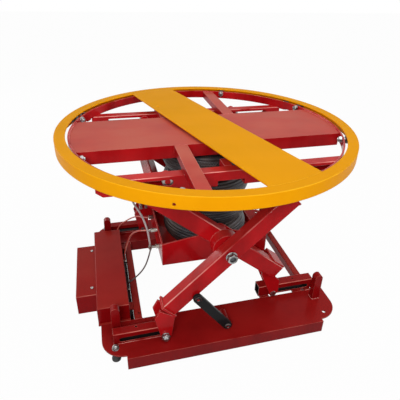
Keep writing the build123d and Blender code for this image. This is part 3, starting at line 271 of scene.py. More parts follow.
@dataclass(frozen=True)
class Paint:
    """Glossy brushed-on or sprayed enamel over steel, with dust and painted light on what faces up, painted
    highlights on its edges and painted shade towards the floor and in slots.
    """

    EDGE_FADE: ClassVar[float] = 0.0006
    name: str
    body: Colour
    deep: Colour
    # Colour on upward faces: dust together with painted light, a paler painted sheen on the reds and darker painted
    # shade on the yellow.
    dust_and_top_light: Colour
    # Pale colour painted on edges as a highlight.
    edge_highlight: Colour
    roughness: float = 0.24
    coat: float = 0.10
    dust_and_top_light_share: float = 0.5
    edge_radius: float = 0.0035
    specular: float = 0.06
    # Share of painted shade that darkens the paint towards the floor.
    floor_shade_share: float = 0.45
    patchy: float = 0.6
    rim_shine: float = 0.7
    # Painted shade inside track slots: the Y walls bounding each slot, the slot's top height and its near-black
    # colour.
    hollow_walls: tuple[tuple[float, float], ...] = ()
    hollow_top: float = 0.1005
    slot_shade: Colour = (0.010, 0.006, 0.006)

    def material(self) -> bpy.types.Material:
        """The paint's material."""
        shader = Shader(self.name)
        cloud = shader.noise(5.0, 4.0)
        streak = shader.noise(14.0, 3.0, (1, 1, 0.25))
        grain = shader.noise(420.0, 2.0)
        flow = shader.noise(55.0, 1.0)
        normal = shader.node("ShaderNodeTexCoord", {}, {}, "Normal")
        upper = shader.part(normal, "Z").step(-0.05, 0.6)
        facing_up = shader.part(normal, "Z").step(0.35, 0.95)
        rounded, rim = shader.edges(self.edge_radius)
        # Painted shade: the paint turns to its deep colour towards the floor, where less light reaches.
        near_floor_shade = 1 - shader.part(shader.place(), "Z").step(0.0, 0.30)
        body_share = (cloud * 0.7 + streak * 0.5).step(0.32, 0.85) * (1 - near_floor_shade * self.floor_shade_share)
        tone = shader.mix(body_share, self.deep, self.body)
        # Upward faces take dust and painted light in cloudy patches: a painted sheen on the reds, painted shade on
        # the yellow.
        dust_and_light_patches = shader.noise(2.6, 3.0, (1, 2.2, 1))
        dust_and_light_film = 0.85 - self.patchy + dust_and_light_patches.step(0.25, 0.75) * self.patchy + cloud * 0.3
        top_dust_and_light = facing_up * dust_and_light_film * self.dust_and_top_light_share
        tone = shader.mix(top_dust_and_light, tone, self.dust_and_top_light)
        specks = grain.step(0.68, 0.74) * 0.3
        tone = shader.mix(specks * facing_up, tone, self.dust_and_top_light)
        # Painted highlight on sharp edges and on rounded upper edges, in the edge highlight colour.
        across = shader.part(normal, "Y").absolute()
        rounded_edge_glint = across.step(0.25, 0.55) * (1 - across.step(0.85, 0.97)) * upper
        glint = rim * (0.18 + upper * 0.75) * streak.step(0.30, 0.62)
        glint = (glint + rounded_edge_glint * cloud.step(0.35, 0.6) * self.rim_shine).clamp()
        tone = shader.mix(glint, tone, self.edge_highlight)
        # Painted shade: the slot between each pair of walls and below the top is near-black.
        depth = shader.part(shader.place(), "Y")
        for near, far in self.hollow_walls:
            inside = depth.step(near, near + self.EDGE_FADE) * (1 - depth.step(far - self.EDGE_FADE, far))
            above = shader.part(shader.place(), "Z")
            inside = inside * (1 - above.step(self.hollow_top, self.hollow_top + self.EDGE_FADE))
            tone = shader.mix(inside, tone, self.slot_shade)
        rough = self.roughness + (streak - 0.5) * 0.12 + top_dust_and_light * 0.16
        height = flow * 0.6 + grain * 0.12
        bent = shader.bump(height, 0.00025, rounded)
        constants = {"Coat Weight": self.coat, "Coat Roughness": 0.10, "Specular IOR Level": self.specular}
        return shader.finish(constants, {"Base Color": tone, "Roughness": rough, "Normal": bent})


@dataclass(frozen=True)
class Plating:
    """Zinc-plated or machined steel, brass and cast fittings."""

    name: str
    body: Colour
    stain: Colour
    roughness: float = 0.3
    brush: float = 900.0
    metallic: float = 1.0

    def material(self) -> bpy.types.Material:
        """The metal's material."""
        shader = Shader(self.name)
        cloud = shader.noise(70.0, 4.0)
        brushed = shader.noise(self.brush, 2.0, (1, 0.15, 1))
        rounded, rim = shader.edges(0.0008)
        tone = shader.mix(cloud.step(0.42, 0.72), self.body, self.stain)
        tone = shader.mix(rim * 0.5, tone, (0.9, 0.9, 0.9))
        rough = self.roughness + cloud * 0.25 - brushed * 0.08
        bent = shader.bump(brushed, 0.00008, rounded)
        return shader.finish({"Metallic": self.metallic}, {"Base Color": tone, "Roughness": rough, "Normal": bent})


@dataclass(frozen=True)
class Moulding:
    """Rubber and plastic mouldings: rollers, feet, hoses."""

    name: str
    body: Colour
    worn: Colour
    roughness: float = 0.5
    grain: float = 260.0
    depth: float = 0.0002

    def material(self) -> bpy.types.Material:
        """The moulding's material."""
        shader = Shader(self.name)
        cloud = shader.noise(30.0, 4.0)
        grain = shader.noise(self.grain, 3.0)
        rounded, rim = shader.edges(0.001)
        tone = shader.mix((cloud * 0.8 + grain * 0.4).step(0.5, 0.8), self.body, self.worn)
        tone = shader.mix(rim * 0.4, tone, self.worn)
        rough = self.roughness + cloud * 0.15
        bent = shader.bump(grain, self.depth, rounded)
        return shader.finish({}, {"Base Color": tone, "Roughness": rough, "Normal": bent})


@dataclass(frozen=True)
class BellowsRubber:
    """Moulded rubber over crossed cords, chalky on the crowns of its lobes; the chalk on the ridge crests is partly
    a painted highlight.
    """

    name: str
    body: Colour
    chalk_and_crest_sheen: Colour
    brown: Colour
    cords: int = 110
    slant: int = 40
    ridges: int = 40

    def material(self) -> bpy.types.Material:
        """The bellows' material; its UV map runs round and up the wall."""
        shader = Shader(self.name)
        uv = shader.node("ShaderNodeTexCoord", {}, {}, "UV")
        round_share = shader.part(uv, "X")
        up_share = shader.part(uv, "Y")
        turn = 2 * math.pi
        first = (round_share * (turn * self.cords) + up_share * (turn * self.slant)).sine()
        second = (round_share * (turn * self.cords) - up_share * (turn * self.slant)).sine()
        ridges = (up_share * (turn * self.ridges)).sine()
        cloud = shader.noise(9.0, 5.0)
        scuff = shader.noise(38.0, 4.0, (0.4, 0.4, 2.5))
        weave = (first * 0.5 + second * 0.5).step(0.2, 1.0)
        tone = shader.mix(cloud.step(0.42, 0.66), self.body, self.brown)
        tone = shader.mix(weave * scuff.step(0.42, 0.62) * 0.6, tone, self.chalk_and_crest_sheen)
        # Chalk together with a painted highlight on the crests of the ridges, where scuffed.
        tone = shader.mix(ridges.step(0.4, 1.0) * scuff.step(0.48, 0.66) * 0.55, tone, self.chalk_and_crest_sheen)
        rough = 0.30 + cloud * 0.25
        height = weave * 0.4 + ridges * 0.6 + scuff * 0.3
        bent = shader.bump(height, 0.0022)
        constants = {"Specular IOR Level": 0.5}
        return shader.finish(constants, {"Base Color": tone, "Roughness": rough, "Normal": bent})


@dataclass(frozen=True)
class StudioGround:
    """Pale floor or backdrop that the camera and reflections see as white."""

    name: str
    glow: float = 0.975

    def material(self) -> bpy.types.Material:
        """The ground's material."""
        shader = Shader(self.name)
        rays = {key: shader.node("ShaderNodeLightPath", {}, {}, key)
                for key in ("Is Camera Ray", "Is Glossy Ray", "Is Transmission Ray")}
        seen = (rays["Is Camera Ray"] + rays["Is Glossy Ray"] + rays["Is Transmission Ray"]).clamp()
        grain = shader.noise(60.0, 3.0)
        tone = shader.mix(grain, (0.50, 0.50, 0.50), (0.54, 0.54, 0.54))
        matt = shader.node("ShaderNodeBsdfDiffuse", {}, {"Color": tone})
        light = shader.node("ShaderNodeEmission", {}, {"Color": (1, 1, 1, 1), "Strength": 1.0})
        surface = shader.node("ShaderNodeMixShader", {}, {0: seen * self.glow, 1: matt, 2: light})
        shader.node("ShaderNodeOutputMaterial", {}, {"Surface": surface})
        return shader.material


class Finishes:
    """Every material of the table, made once."""

    FLOOR_FRAME = ("front_floor_channel", "rear_floor_channel", "stop_posts")

    def __init__(self) -> None:
        """Make the materials."""
        # The red's top colour is dust with a painted sheen; its edge colour is a painted highlight.
        red = Paint("red_enamel", (0.58, 0.008, 0.012), (0.27, 0.002, 0.003),
                    dust_and_top_light=(0.38, 0.045, 0.032), edge_highlight=(0.93, 0.48, 0.42))
        self.red = red.material()
        self.weld_red = replace(red, name="weld_enamel", rim_shine=0.1).material()
        # Painted shade: the floor frame and tracks take the legs' red enamel darkened, as less light reaches near
        # the floor.
        shaded_floor_red = Paint("floor_frame_enamel", (0.34, 0.005, 0.006), (0.17, 0.002, 0.003), coat=0.04,
                          dust_and_top_light=(0.30, 0.012, 0.010), edge_highlight=(0.80, 0.26, 0.20), dust_and_top_light_share=0.8)
        self.shaded_base_red = shaded_floor_red.material()
        self.outer_track = replace(shaded_floor_red, name="outer_track_enamel",
                                   hollow_walls=((-0.3605, -0.3275), (0.3425, 0.3755))).material()
        self.inner_track = replace(shaded_floor_red, name="inner_track_enamel", hollow_top=0.1025,
                                   hollow_walls=((-0.2465, -0.2075), (0.2075, 0.2465))).material()
        # Painted shade: a near-black paint for the sheet that fills the deep gap beside the valve cover.
        self.gap_shade = Paint("gutter_paint", (0.035, 0.006, 0.006), (0.012, 0.004, 0.004),
                            dust_and_top_light=(0.03, 0.010, 0.008), edge_highlight=(0.10, 0.03, 0.03), dust_and_top_light_share=0.6).material()
        # Painted shade: the valve cover, control box and tie beams take a darker copy of the red, as they sit low
        # under the deck.
        self.shaded_cover_red = Paint("cover_enamel", (0.37, 0.004, 0.006), (0.22, 0.002, 0.003), coat=0.04,
                              dust_and_top_light=(0.36, 0.030, 0.020), edge_highlight=(0.80, 0.26, 0.20), dust_and_top_light_share=0.9).material()
        # The deck plate's pale top colour, in cloudy patches, is a painted sheen together with dust.
        self.plate_red = Paint("deck_plate_enamel", (0.46, 0.008, 0.010), (0.28, 0.003, 0.005), coat=0.05,
                               dust_and_top_light=(0.43, 0.090, 0.060), edge_highlight=(0.80, 0.36, 0.28), dust_and_top_light_share=1.0,
                               roughness=0.34).material()
        # The yellow's darker top colour is painted shade on its upward faces, together with dust.
        self.yellow = Paint("yellow_powder_coat", (1.0, 0.41, 0.0005), (0.95, 0.37, 0.0005), (0.62, 0.26, 0.002),
                            (0.97, 0.50, 0.02), roughness=0.42, coat=0.0, dust_and_top_light_share=0.95,
                            specular=0.04, patchy=0.12).material()
        self.black = Paint("black_link_paint", (0.012, 0.012, 0.013), (0.006, 0.006, 0.007), (0.03, 0.027, 0.026),
                           (0.16, 0.15, 0.15), roughness=0.45, dust_and_top_light_share=0.4).material()
        self.zinc = Plating("zinc_plate", (0.40, 0.41, 0.41), (0.15, 0.14, 0.13), 0.24).material()
        self.dark_steel = Plating("dark_steel", (0.10, 0.10, 0.11), (0.05, 0.045, 0.04), 0.35).material()
        self.bare_steel = Plating("machined_steel", (0.45, 0.44, 0.43), (0.22, 0.18, 0.15), 0.32).material()
        self.nickel = Plating("nickel_fitting", (0.40, 0.38, 0.35), (0.20, 0.17, 0.13), 0.22, 400.0).material()
        self.cast = Plating("cast_aluminium", (0.55, 0.55, 0.57), (0.35, 0.35, 0.36), 0.45, 300.0).material()
        self.foot_rubber = Moulding("foot_rubber", (0.012, 0.012, 0.013), (0.05, 0.047, 0.045), 0.6).material()
        self.roller = Moulding("roller_plastic", (0.03, 0.03, 0.032), (0.12, 0.11, 0.10), 0.45).material()
        self.grey_hose = Moulding("grey_hose", (0.36, 0.31, 0.31), (0.52, 0.44, 0.43), 0.25, 90, 0.0001).material()
        self.dark_hose = Moulding("dark_hose", (0.12, 0.09, 0.09), (0.22, 0.17, 0.16), 0.28, 90, 0.0001).material()
        self.red_hose = Moulding("red_hose", (0.55, 0.06, 0.04), (0.62, 0.18, 0.12), 0.30, 90, 0.0001).material()
        self.bellows = BellowsRubber("bellows_rubber", (0.010, 0.011, 0.014), (0.20, 0.20, 0.22),
                                     (0.045, 0.028, 0.022)).material()

    def for_node(self, name: str) -> bpy.types.Material:
        """The finish of a CAD node, by its name."""
        exact = {
            "top_plate": self.plate_red, "cross_bars": self.plate_red, "deck_strap": self.yellow,
            "turntable_ring": self.yellow, "lower_links": self.black, "upper_links": self.black,
            "air_cover": self.shaded_cover_red, "control_box": self.shaded_cover_red, "tie_beams": self.shaded_cover_red,
            **dict.fromkeys(self.FLOOR_FRAME, self.shaded_base_red), "outer_leg_tracks": self.outer_track,
            "inner_leg_tracks": self.inner_track,
            "pivot_pins": self.dark_steel, "rubber_feet": self.foot_rubber, "valve_block": self.cast,
            "air_fittings": self.nickel, "cradle_fittings": self.nickel, "levelling_bolts": self.zinc,
            "control_box_screws": self.zinc, "pivot_nuts": self.zinc, "ring_axles": self.zinc,
            "outer_foot_axles": self.zinc, "inner_foot_axles": self.zinc,
        }
        if name in exact:
            return exact[name]
        if name.startswith("ring_roller"):
            return self.roller
        if name.endswith("_rollers"):
            return self.bare_steel
        if name.startswith("guide_roller"):
            return self.zinc
        return self.red


# Mesh helpers

def link_mesh(name: str, vertices: Sequence[Vector], faces: Sequence[Sequence[int]],
              material: bpy.types.Material) -> bpy.types.Object:
    """Make an object from vertices and faces.

    Args:
        name: The object's name.
        vertices: Points in metres.
        faces: Vertex numbers of each face, seen from outside anticlockwise.
        material: Its finish.

    Returns:
        The linked object, shaded smooth.
    """
    mesh = bpy.data.meshes.new(name)
    mesh.from_pydata(vertices, [], faces)
    mesh.materials.append(material)
    mesh.shade_smooth()
    piece = bpy.data.objects.new(name, mesh)
    bpy.context.scene.collection.objects.link(piece)
    return piece


def lathe(profile: Sequence[tuple[float, float]], segments: int) -> tuple[list[Vector], list[tuple[int, ...]]]:
    """Turn a profile about +Z.

    Args:
        profile: (radius, height) pairs, in the order that keeps the solid on their left going up.
        segments: Steps round the axis.

    Returns:
        Vertices and faces; a radius of 0 at an end makes a closed pole.
    """
    vertices: list[Vector] = []
    rows: list[list[int]] = []
    for radius, height in profile:
        count = 1 if radius == 0 else segments
        rows.append(list(range(len(vertices), len(vertices) + count)))
        for step in range(count):
            turn = 2 * math.pi * step / segments
            vertices.append(Vector((radius * math.cos(turn), radius * math.sin(turn), height)))
    faces: list[tuple[int, ...]] = []
    for low, high in zip(rows, rows[1:]):
        for step in range(segments):
            after = (step + 1) % segments
            corners = [low[step % len(low)], low[after % len(low)], high[after % len(high)], high[step % len(high)]]
            unique = list(dict.fromkeys(corners))
            if len(unique) > 2:
                faces.append(tuple(unique))
    return vertices, faces


def frozen(worker: bpy.types.Object) -> bpy.types.Object:
    """The evaluated shape of an object as a plain mesh object, which takes the object's place.

    Args:
        worker: An object with a live modifier.

    Returns:
        The plain object, of the same name.
    """
    name = worker.name
    depsgraph = bpy.context.evaluated_depsgraph_get()
    mesh = bpy.data.meshes.new_from_object(worker.evaluated_get(depsgraph), depsgraph=depsgraph)
    bpy.data.objects.remove(worker)
    mesh.name = name
    mesh.shade_smooth()
    piece = bpy.data.objects.new(name, mesh)
    bpy.context.scene.collection.objects.link(piece)
    return piece


def carry(piece: bpy.types.Object, body: Body, replaced: Sequence[str] = ()) -> bpy.types.Object:
    """Ride a piece on its body and hide the CAD nodes it stands for."""
    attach(piece, body.value)
    if replaced:
        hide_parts(*replaced)
    LOG.info("%s rides on %s", piece.name, body.value)
    return piece


# Geometry node trees

class NodeTree:
    """A geometry node tree with named inputs."""

    def __init__(self, name: str, inputs: dict[str, str]) -> None:
        """Start a tree.

        Args:
            name: The tree's name.
            inputs: Socket types by input name; the first is the geometry.
        """
        self.tree = bpy.data.node_groups.new(name, "GeometryNodeTree")
        for label, kind in inputs.items():
            self.tree.interface.new_socket(label, in_out="INPUT", socket_type=kind)
        self.tree.interface.new_socket("Geometry", in_out="OUTPUT", socket_type="NodeSocketGeometry")
        self.source = self.tree.nodes.new("NodeGroupInput")

    def given(self, label: str) -> bpy.types.NodeSocket:
        """A named input of the tree."""
        return self.source.outputs[label]

    def node(self, kind: str, settings: dict, inputs: dict, output: int | str = 0) -> bpy.types.NodeSocket:
        """Add a node and return one of its outputs."""
        made = self.tree.nodes.new(kind)
        for key, value in settings.items():
            setattr(made, key, value)
        for key, value in inputs.items():
            if isinstance(value, bpy.types.NodeSocket):
                self.tree.links.new(value, made.inputs[key])
            else:
                made.inputs[key].default_value = value
        return made.outputs[output]

    def close(self, geometry: bpy.types.NodeSocket) -> None:
        """End the tree with realised instances and the material input."""
        real = self.node("GeometryNodeRealizeInstances", {}, {0: geometry})
        dressed = self.node("GeometryNodeSetMaterial", {}, {"Geometry": real, "Material": self.given("Material")})
        sink = self.tree.nodes.new("NodeGroupOutput")
        self.tree.links.new(dressed, sink.inputs[0])

    def apply(self, worker: bpy.types.Object, values: dict) -> bpy.types.Object:
        """Run the tree on an object.

        Args:
            worker: The object whose mesh feeds the tree.
            values: Input values by name.

        Returns:
            The plain mesh object that comes out.
        """
        modifier = worker.modifiers.new(self.tree.name, "NODES")
        modifier.node_group = self.tree
        for item in self.tree.interface.items_tree:
            if item.in_out == "INPUT" and item.name in values:
                modifier[item.identifier] = values[item.name]
        return frozen(worker)


def bead_tree() -> NodeTree:
    """The tree that lays overlapping weld ripples along a mesh's edges."""
    tree = NodeTree("weld_bead", {"Geometry": "NodeSocketGeometry", "Bead Radius": "NodeSocketFloat",
                                  "Pitch": "NodeSocketFloat", "Seed": "NodeSocketInt",
                                  "Material": "NodeSocketMaterial"})
    curve = tree.node("GeometryNodeMeshToCurve", {}, {"Mesh": tree.given("Geometry")})
    run = tree.node("GeometryNodeResampleCurve", {"mode": "LENGTH"},
                    {"Curve": curve, "Length": tree.given("Pitch")})
    tangent = tree.node("GeometryNodeInputTangent", {}, {})
    turned = tree.node("FunctionNodeAlignRotationToVector", {"axis": "X"}, {"Vector": tangent})
    ripple = tree.node("GeometryNodeMeshUVSphere", {}, {"Segments": 8, "Rings": 5, "Radius": 1.0})
    spread = tree.node("FunctionNodeRandomValue", {"data_type": "FLOAT"},
                       {"Min": 0.8, "Max": 1.15, "Seed": tree.given("Seed")}, 1)
    size = tree.node("ShaderNodeMath", {"operation": "MULTIPLY"}, {0: spread, 1: tree.given("Bead Radius")})
    scale = tree.node("ShaderNodeCombineXYZ", {}, {"X": size, "Y": size, "Z": size})
    laid = tree.node("GeometryNodeInstanceOnPoints", {},
                     {"Points": run, "Instance": ripple, "Rotation": turned, "Scale": scale})
    tree.close(laid)
    return tree


def fastener_tree() -> NodeTree:
    """The tree that puts one fastener on each point, along its axis attribute."""
    tree = NodeTree("fastener_set", {"Geometry": "NodeSocketGeometry", "Fastener": "NodeSocketObject",
                                     "Size": "NodeSocketFloat", "Seed": "NodeSocketInt",
                                     "Material": "NodeSocketMaterial"})
    axis = tree.node("GeometryNodeInputNamedAttribute", {"data_type": "FLOAT_VECTOR"}, {"Name": "axis"})
    turned = tree.node("FunctionNodeAlignRotationToVector", {"axis": "Z"}, {"Vector": axis})
    twist = tree.node("FunctionNodeRandomValue", {"data_type": "FLOAT"},
                      {"Min": 0.0, "Max": 1.0, "Seed": tree.given("Seed")}, 1)
    spin = tree.node("FunctionNodeAxisAngleToRotation", {}, {"Axis": (0, 0, 1), "Angle": twist})
    rotation = tree.node("FunctionNodeRotateRotation", {"rotation_space": "LOCAL"},
                         {"Rotation": turned, "Rotate By": spin})
    shape = tree.node("GeometryNodeObjectInfo", {}, {"Object": tree.given("Fastener")}, "Geometry")
    laid = tree.node("GeometryNodeInstanceOnPoints", {},
                     {"Points": tree.given("Geometry"), "Instance": shape, "Rotation": rotation,
                      "Scale": tree.given("Size")})
    tree.close(laid)
    return tree


# Sub-assemblies

@dataclass
class Studio:
    """Camera, lamps and pale ground."""

    lens_pixels: float = 404.16
    image_pixels: int = 400
    sensor: float = 36.0
    centre: tuple[float, float] = (206.99, 190.75)
    place: Point = (-387.4, -1419.1, 1266.9)
    right: Point = (0.9669673, -0.2533049, 0.0284762)
    up: Point = (0.098927, 0.4758895, 0.8739237)
    ahead: Point = (0.2349207, 0.8422386, -0.4852283)
    floor_half: float = 12.0
    lamps: tuple[tuple[str, Point, float, float, float], ...] = (
        ("overhead_softbox", (0.4, -0.5, 2.9), 1.6, 1.6, 30.0),
        ("front_softbox", (-1.1, -2.5, 2.1), 1.0, 0.7, 40.0),
        ("rear_left_window", (-2.2, 3.0, 1.5), 0.8, 1.3, 36.0),
        ("right_fill", (3.0, -1.6, 1.6), 1.2, 1.2, 12.0),
    )
    target: Point = (0.0, 0.0, 0.4)
    sky: float = 0.38

    def add_camera(self) -> None:
        """Set the camera where the photograph was taken from."""
        data = bpy.data.cameras.new("photo_camera")
        data.sensor_fit = "HORIZONTAL"
        data.sensor_width = self.sensor
        data.lens = self.lens_pixels / self.image_pixels * self.sensor
        half = self.image_pixels / 2
        data.shift_x = (half - self.centre[0]) / self.image_pixels
        data.shift_y = (self.centre[1] - half) / self.image_pixels
        camera = bpy.data.objects.new("photo_camera", data)
        axes = Matrix((self.right, self.up, -Vector(self.ahead))).transposed()
        camera.matrix_world = Matrix.Translation(Vector(self.place) * MM) @ axes.to_4x4()
        bpy.context.scene.collection.objects.link(camera)
        bpy.context.scene.camera = camera

    def add_light(self) -> None:
        """Set the lamps and the world."""
        for name, spot, width, depth, power in self.lamps:
            data = bpy.data.lights.new(name, "AREA")
            data.shape = "RECTANGLE"
            data.size = width
            data.size_y = depth
            data.energy = power
            lamp = bpy.data.objects.new(name, data)
            lamp.location = spot
            lamp.rotation_euler = (Vector(self.target) - Vector(spot)).to_track_quat("-Z", "Y").to_euler()
            bpy.context.scene.collection.objects.link(lamp)
        world = bpy.data.worlds.new("studio_world")
        world.use_nodes = True
        nodes, links = world.node_tree.nodes, world.node_tree.links
        nodes.clear()
        path = nodes.new("ShaderNodeLightPath")
        seen = path.outputs["Is Camera Ray"]
        for key in ("Is Glossy Ray", "Is Transmission Ray"):
            joined = nodes.new("ShaderNodeMath")
            joined.operation = "MAXIMUM"
            links.new(seen, joined.inputs[0])
            links.new(path.outputs[key], joined.inputs[1])
            seen = joined.outputs[0]
        strength = nodes.new("ShaderNodeMapRange")
        strength.inputs["To Min"].default_value = self.sky
        strength.inputs["To Max"].default_value = 1.0
        links.new(seen, strength.inputs["Value"])
        back = nodes.new("ShaderNodeBackground")
        back.inputs["Color"].default_value = (1, 1, 1, 1)
        links.new(strength.outputs["Result"], back.inputs["Strength"])
        out = nodes.new("ShaderNodeOutputWorld")
        links.new(back.outputs[0], out.inputs["Surface"])
        bpy.context.scene.world = world

    def add_floor(self) -> None:
        """Lay the floor."""
        half = self.floor_half
        corners = [Vector((-half, -half, 0)), Vector((half, -half, 0)), Vector((half, half, 0)), Vector((-half, half, 0))]
        floor = link_mesh("studio_floor", corners, [(0, 1, 2, 3)], StudioGround("studio_floor").material())


@dataclass(frozen=True)
class Hose:
    """One air hose: its route in millimetres and how it is carried."""

    name: str
    radius: float
    body: Body
    slot: str
    route: tuple[Point, ...]
    drop: float = 0.0


@dataclass
class AirLines:
    """The four loose air hoses, which leave one fitting and end in another."""

    sides: int = 14
    resolution: int = 24
    hoses: tuple[Hose, ...] = (
        Hose("feed_hose", 3.0, Body.BASE, "dark_hose",
             ((-350, -44, 20), (-351, -50, 51), (-331, -66, 86), (-306, -82, 120), (-281, -98, 163),
              (-262, -110, 216), (-250.5, -120, 275)), 249.4),
        Hose("loop_hose", 4.0, Body.CRADLE, "grey_hose",
             ((-251, -120, 303), (-254, -112, 345), (-263, -85, 385), (-278, -50, 413), (-298, -6, 430),
              (-304, 38, 437), (-284, 66, 418), (-262, 70, 374))),
        Hose("return_hose", 3.0, Body.BASE, "red_hose",
             ((-372, 284, 63), (-372, 308, 72), (-362, 314, 106), (-343, 292, 144), (-320, 256, 182),
              (-296, 208, 226), (-271, 150, 268), (-252, 94, 290), (-232, 52, 318)), 249.4),
        Hose("valve_hose", 3.0, Body.BASE, "red_hose",
             ((-349, 106, 62), (-348, 98, 103), (-333, 78, 168), (-323, 50, 224), (-311, 24, 262),
              (-291, -10, 297), (-272, -36, 314), (-246, -62, 329)), 249.4),
    )

    def centreline(self, hose: Hose) -> list[Vector]:
        """Points along the hose's smooth line.

        Args:
            hose: The hose, whose route is a NURBS spline's control points.

        Returns:
            The points that the spline's own mesh has.
        """
        data = bpy.data.curves.new(f"{hose.name}_line", "CURVE")
        data.dimensions = "3D"
        data.resolution_u = self.resolution
        spline = data.splines.new("NURBS")
        spline.points.add(len(hose.route) - 1)
        for point, place in zip(spline.points, mm(hose.route)):
            point.co = (*place, 1)
        spline.order_u = 3
        spline.use_endpoint_u = True
        line = bpy.data.objects.new(data.name, data)
        bpy.context.scene.collection.objects.link(line)
        depsgraph = bpy.context.evaluated_depsgraph_get()
        mesh = bpy.data.meshes.new_from_object(line.evaluated_get(depsgraph), depsgraph=depsgraph)
        points = [vertex.co.copy() for vertex in mesh.vertices]
        bpy.data.objects.remove(line)
        bpy.data.meshes.remove(mesh)
        return points

    def tube(self, hose: Hose, line: Sequence[Vector], material: bpy.types.Material) -> bpy.types.Object:
        """A closed tube round a line, with a UV map along it."""
        radius = hose.radius * MM
        side = Vector((0, 1, 0))
        vertices: list[Vector] = []
        for index, spot in enumerate(line):
            ahead = (line[min(index + 1, len(line) - 1)] - line[max(index - 1, 0)]).normalized()
            side = (side - ahead * side.dot(ahead)).normalized()
            across = ahead.cross(side)
            for step in range(self.sides):
                turn = 2 * math.pi * step / self.sides
                vertices.append(spot + (side * math.cos(turn) + across * math.sin(turn)) * radius)
        faces: list[tuple[int, ...]] = []
        for row in range(len(line) - 1):
            for step in range(self.sides):
                after = (step + 1) % self.sides
                low, high = row * self.sides, (row + 1) * self.sides
                faces.append((low + step, low + after, high + after, high + step))
        last = (len(line) - 1) * self.sides
        faces.append(tuple(reversed(range(self.sides))))
        faces.append(tuple(range(last, last + self.sides)))
        return link_mesh(f"{hose.name}_tube", vertices, faces, material)

    def build(self, finishes: Finishes) -> None:
        """Make and carry each hose."""
        looks = {"dark_hose": finishes.dark_hose, "grey_hose": finishes.grey_hose, "red_hose": finishes.red_hose}
        for hose in self.hoses:
            line = self.centreline(hose)
            piece = self.tube(hose, line, looks[hose.slot])
            carry(piece, hose.body, [hose.name])
            if hose.body is Body.CRADLE:
                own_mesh(piece)
            if hose.drop:
                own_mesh(piece)


@dataclass
class AirBag:
    """The convoluted rubber bag, its waist hoops and its bead plates."""

    bottom: float = 263.3
    top: float = 675.0
    crown: float = 174.0
    waist: float = 139.5
    lobes: int = 4
    plate_radius: float = 112.0
    plate: float = 8.0
    segments: int = 144
    rows: int = 40
    rib: float = 0.45
    ribs_per_lobe: int = 9
    hoop: float = 4.0
    keep: float = 0.47

    def wall_profile(self) -> list[tuple[float, float]]:
        """Radius and height up the bag's wall, in millimetres."""
        low, high = self.bottom + 2, self.top - 2
        pitch = (high - low) / self.lobes
        profile: list[tuple[float, float]] = []
        for lobe in range(self.lobes):
            for row in range(self.rows + (lobe == self.lobes - 1)):
                share = row / self.rows
                swell = math.sin(math.pi * share) ** 0.62
                rib = self.rib * math.sin(2 * math.pi * self.ribs_per_lobe * share) * swell
                profile.append((self.waist + (self.crown - self.waist) * swell + rib, low + pitch * (lobe + share)))
        return profile

    def bag(self, material: bpy.types.Material) -> bpy.types.Object:
        """The rubber wall, rolled in under both bead plates, with a UV map round and up it."""
        wall = self.wall_profile()
        inside = self.plate_radius - 6
        low_lip = [(0.0, self.bottom + 9), (inside, self.bottom + 9), (inside + 4, self.bottom + 2.5)]
        high_lip = [(inside + 4, self.top - 2.5), (inside, self.top - 9), (0.0, self.top - 9)]
        profile = [(r * MM, z * MM) for r, z in low_lip + wall + high_lip]
        vertices, faces = lathe(profile, self.segments)
        piece = link_mesh("bellows_bag", vertices, faces, material)
        layer = piece.data.uv_layers.new(name="wall_uv")
        height = (self.top - self.bottom) * MM
        for polygon in piece.data.polygons:
            turns = []
            for index in polygon.vertices:
                spot = piece.data.vertices[index].co
                turns.append(math.atan2(spot.y, spot.x) / (2 * math.pi) % 1.0)
            wraps = max(turns) - min(turns) > 0.5
            for loop, index, turn in zip(polygon.loop_indices, polygon.vertices, turns):
                rise = (piece.data.vertices[index].co.z - self.bottom * MM) / height
                layer.data[loop].uv = (turn + 1 if wraps and turn < 0.5 else turn, rise)
        return piece

    def hoops(self, material: bpy.types.Material) -> bpy.types.Object:
        """The girdle hoops that pull the wall in between the lobes."""
        low, high = self.bottom + 2, self.top - 2
        pitch = (high - low) / self.lobes
        vertices: list[Vector] = []
        faces: list[tuple[int, ...]] = []
        tube_sides = 10
        for waist in range(1, self.lobes):
            z = low + pitch * waist
            centre = self.waist + 1.5
            first = len(vertices)
            for step in range(self.segments):
                turn = 2 * math.pi * step / self.segments
                for side in range(tube_sides):
                    angle = 2 * math.pi * side / tube_sides
                    radius = (centre + self.hoop * math.cos(angle)) * MM
                    height = (z + self.hoop * math.sin(angle)) * MM
                    vertices.append(Vector((radius * math.cos(turn), radius * math.sin(turn), height)))
            for step in range(self.segments):
                for side in range(tube_sides):
                    here = first + step * tube_sides
                    there = first + (step + 1) % self.segments * tube_sides
                    after = (side + 1) % tube_sides
                    faces.append((here + side, there + side, there + after, here + after))
        return link_mesh("bellows_hoops", vertices, faces, material)

    def bead_plate(self, name: str, low: float, material: bpy.types.Material) -> bpy.types.Object:
        """A pressed disc with a rolled rim, from z low up by the plate's thickness."""
        rim, thick = self.plate_radius, self.plate
        profile = [(0, low), (rim - 2, low), (rim, low + 2), (rim, low + thick - 2), (rim - 2, low + thick),
                   (rim - 14, low + thick), (rim - 17, low + thick - 2), (0, low + thick - 2)]
        vertices, faces = lathe([(r * MM, z * MM) for r, z in profile], self.segments)
        return link_mesh(name, vertices, faces, material)

    def build(self, finishes: Finishes) -> None:
        """Make the bag and its fittings."""
        bag = carry(self.bag(finishes.bellows), Body.TOP_FRAME, ["air_bag"])
        hoops = carry(self.hoops(finishes.foot_rubber), Body.TOP_FRAME)
        for piece in (bag, hoops):
            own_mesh(piece)
        carry(self.bead_plate("upper_bead_plate", self.top - self.plate, finishes.bare_steel), Body.TOP_FRAME)
        carry(self.bead_plate("lower_bead_plate", self.bottom, finishes.bare_steel), Body.CRADLE)


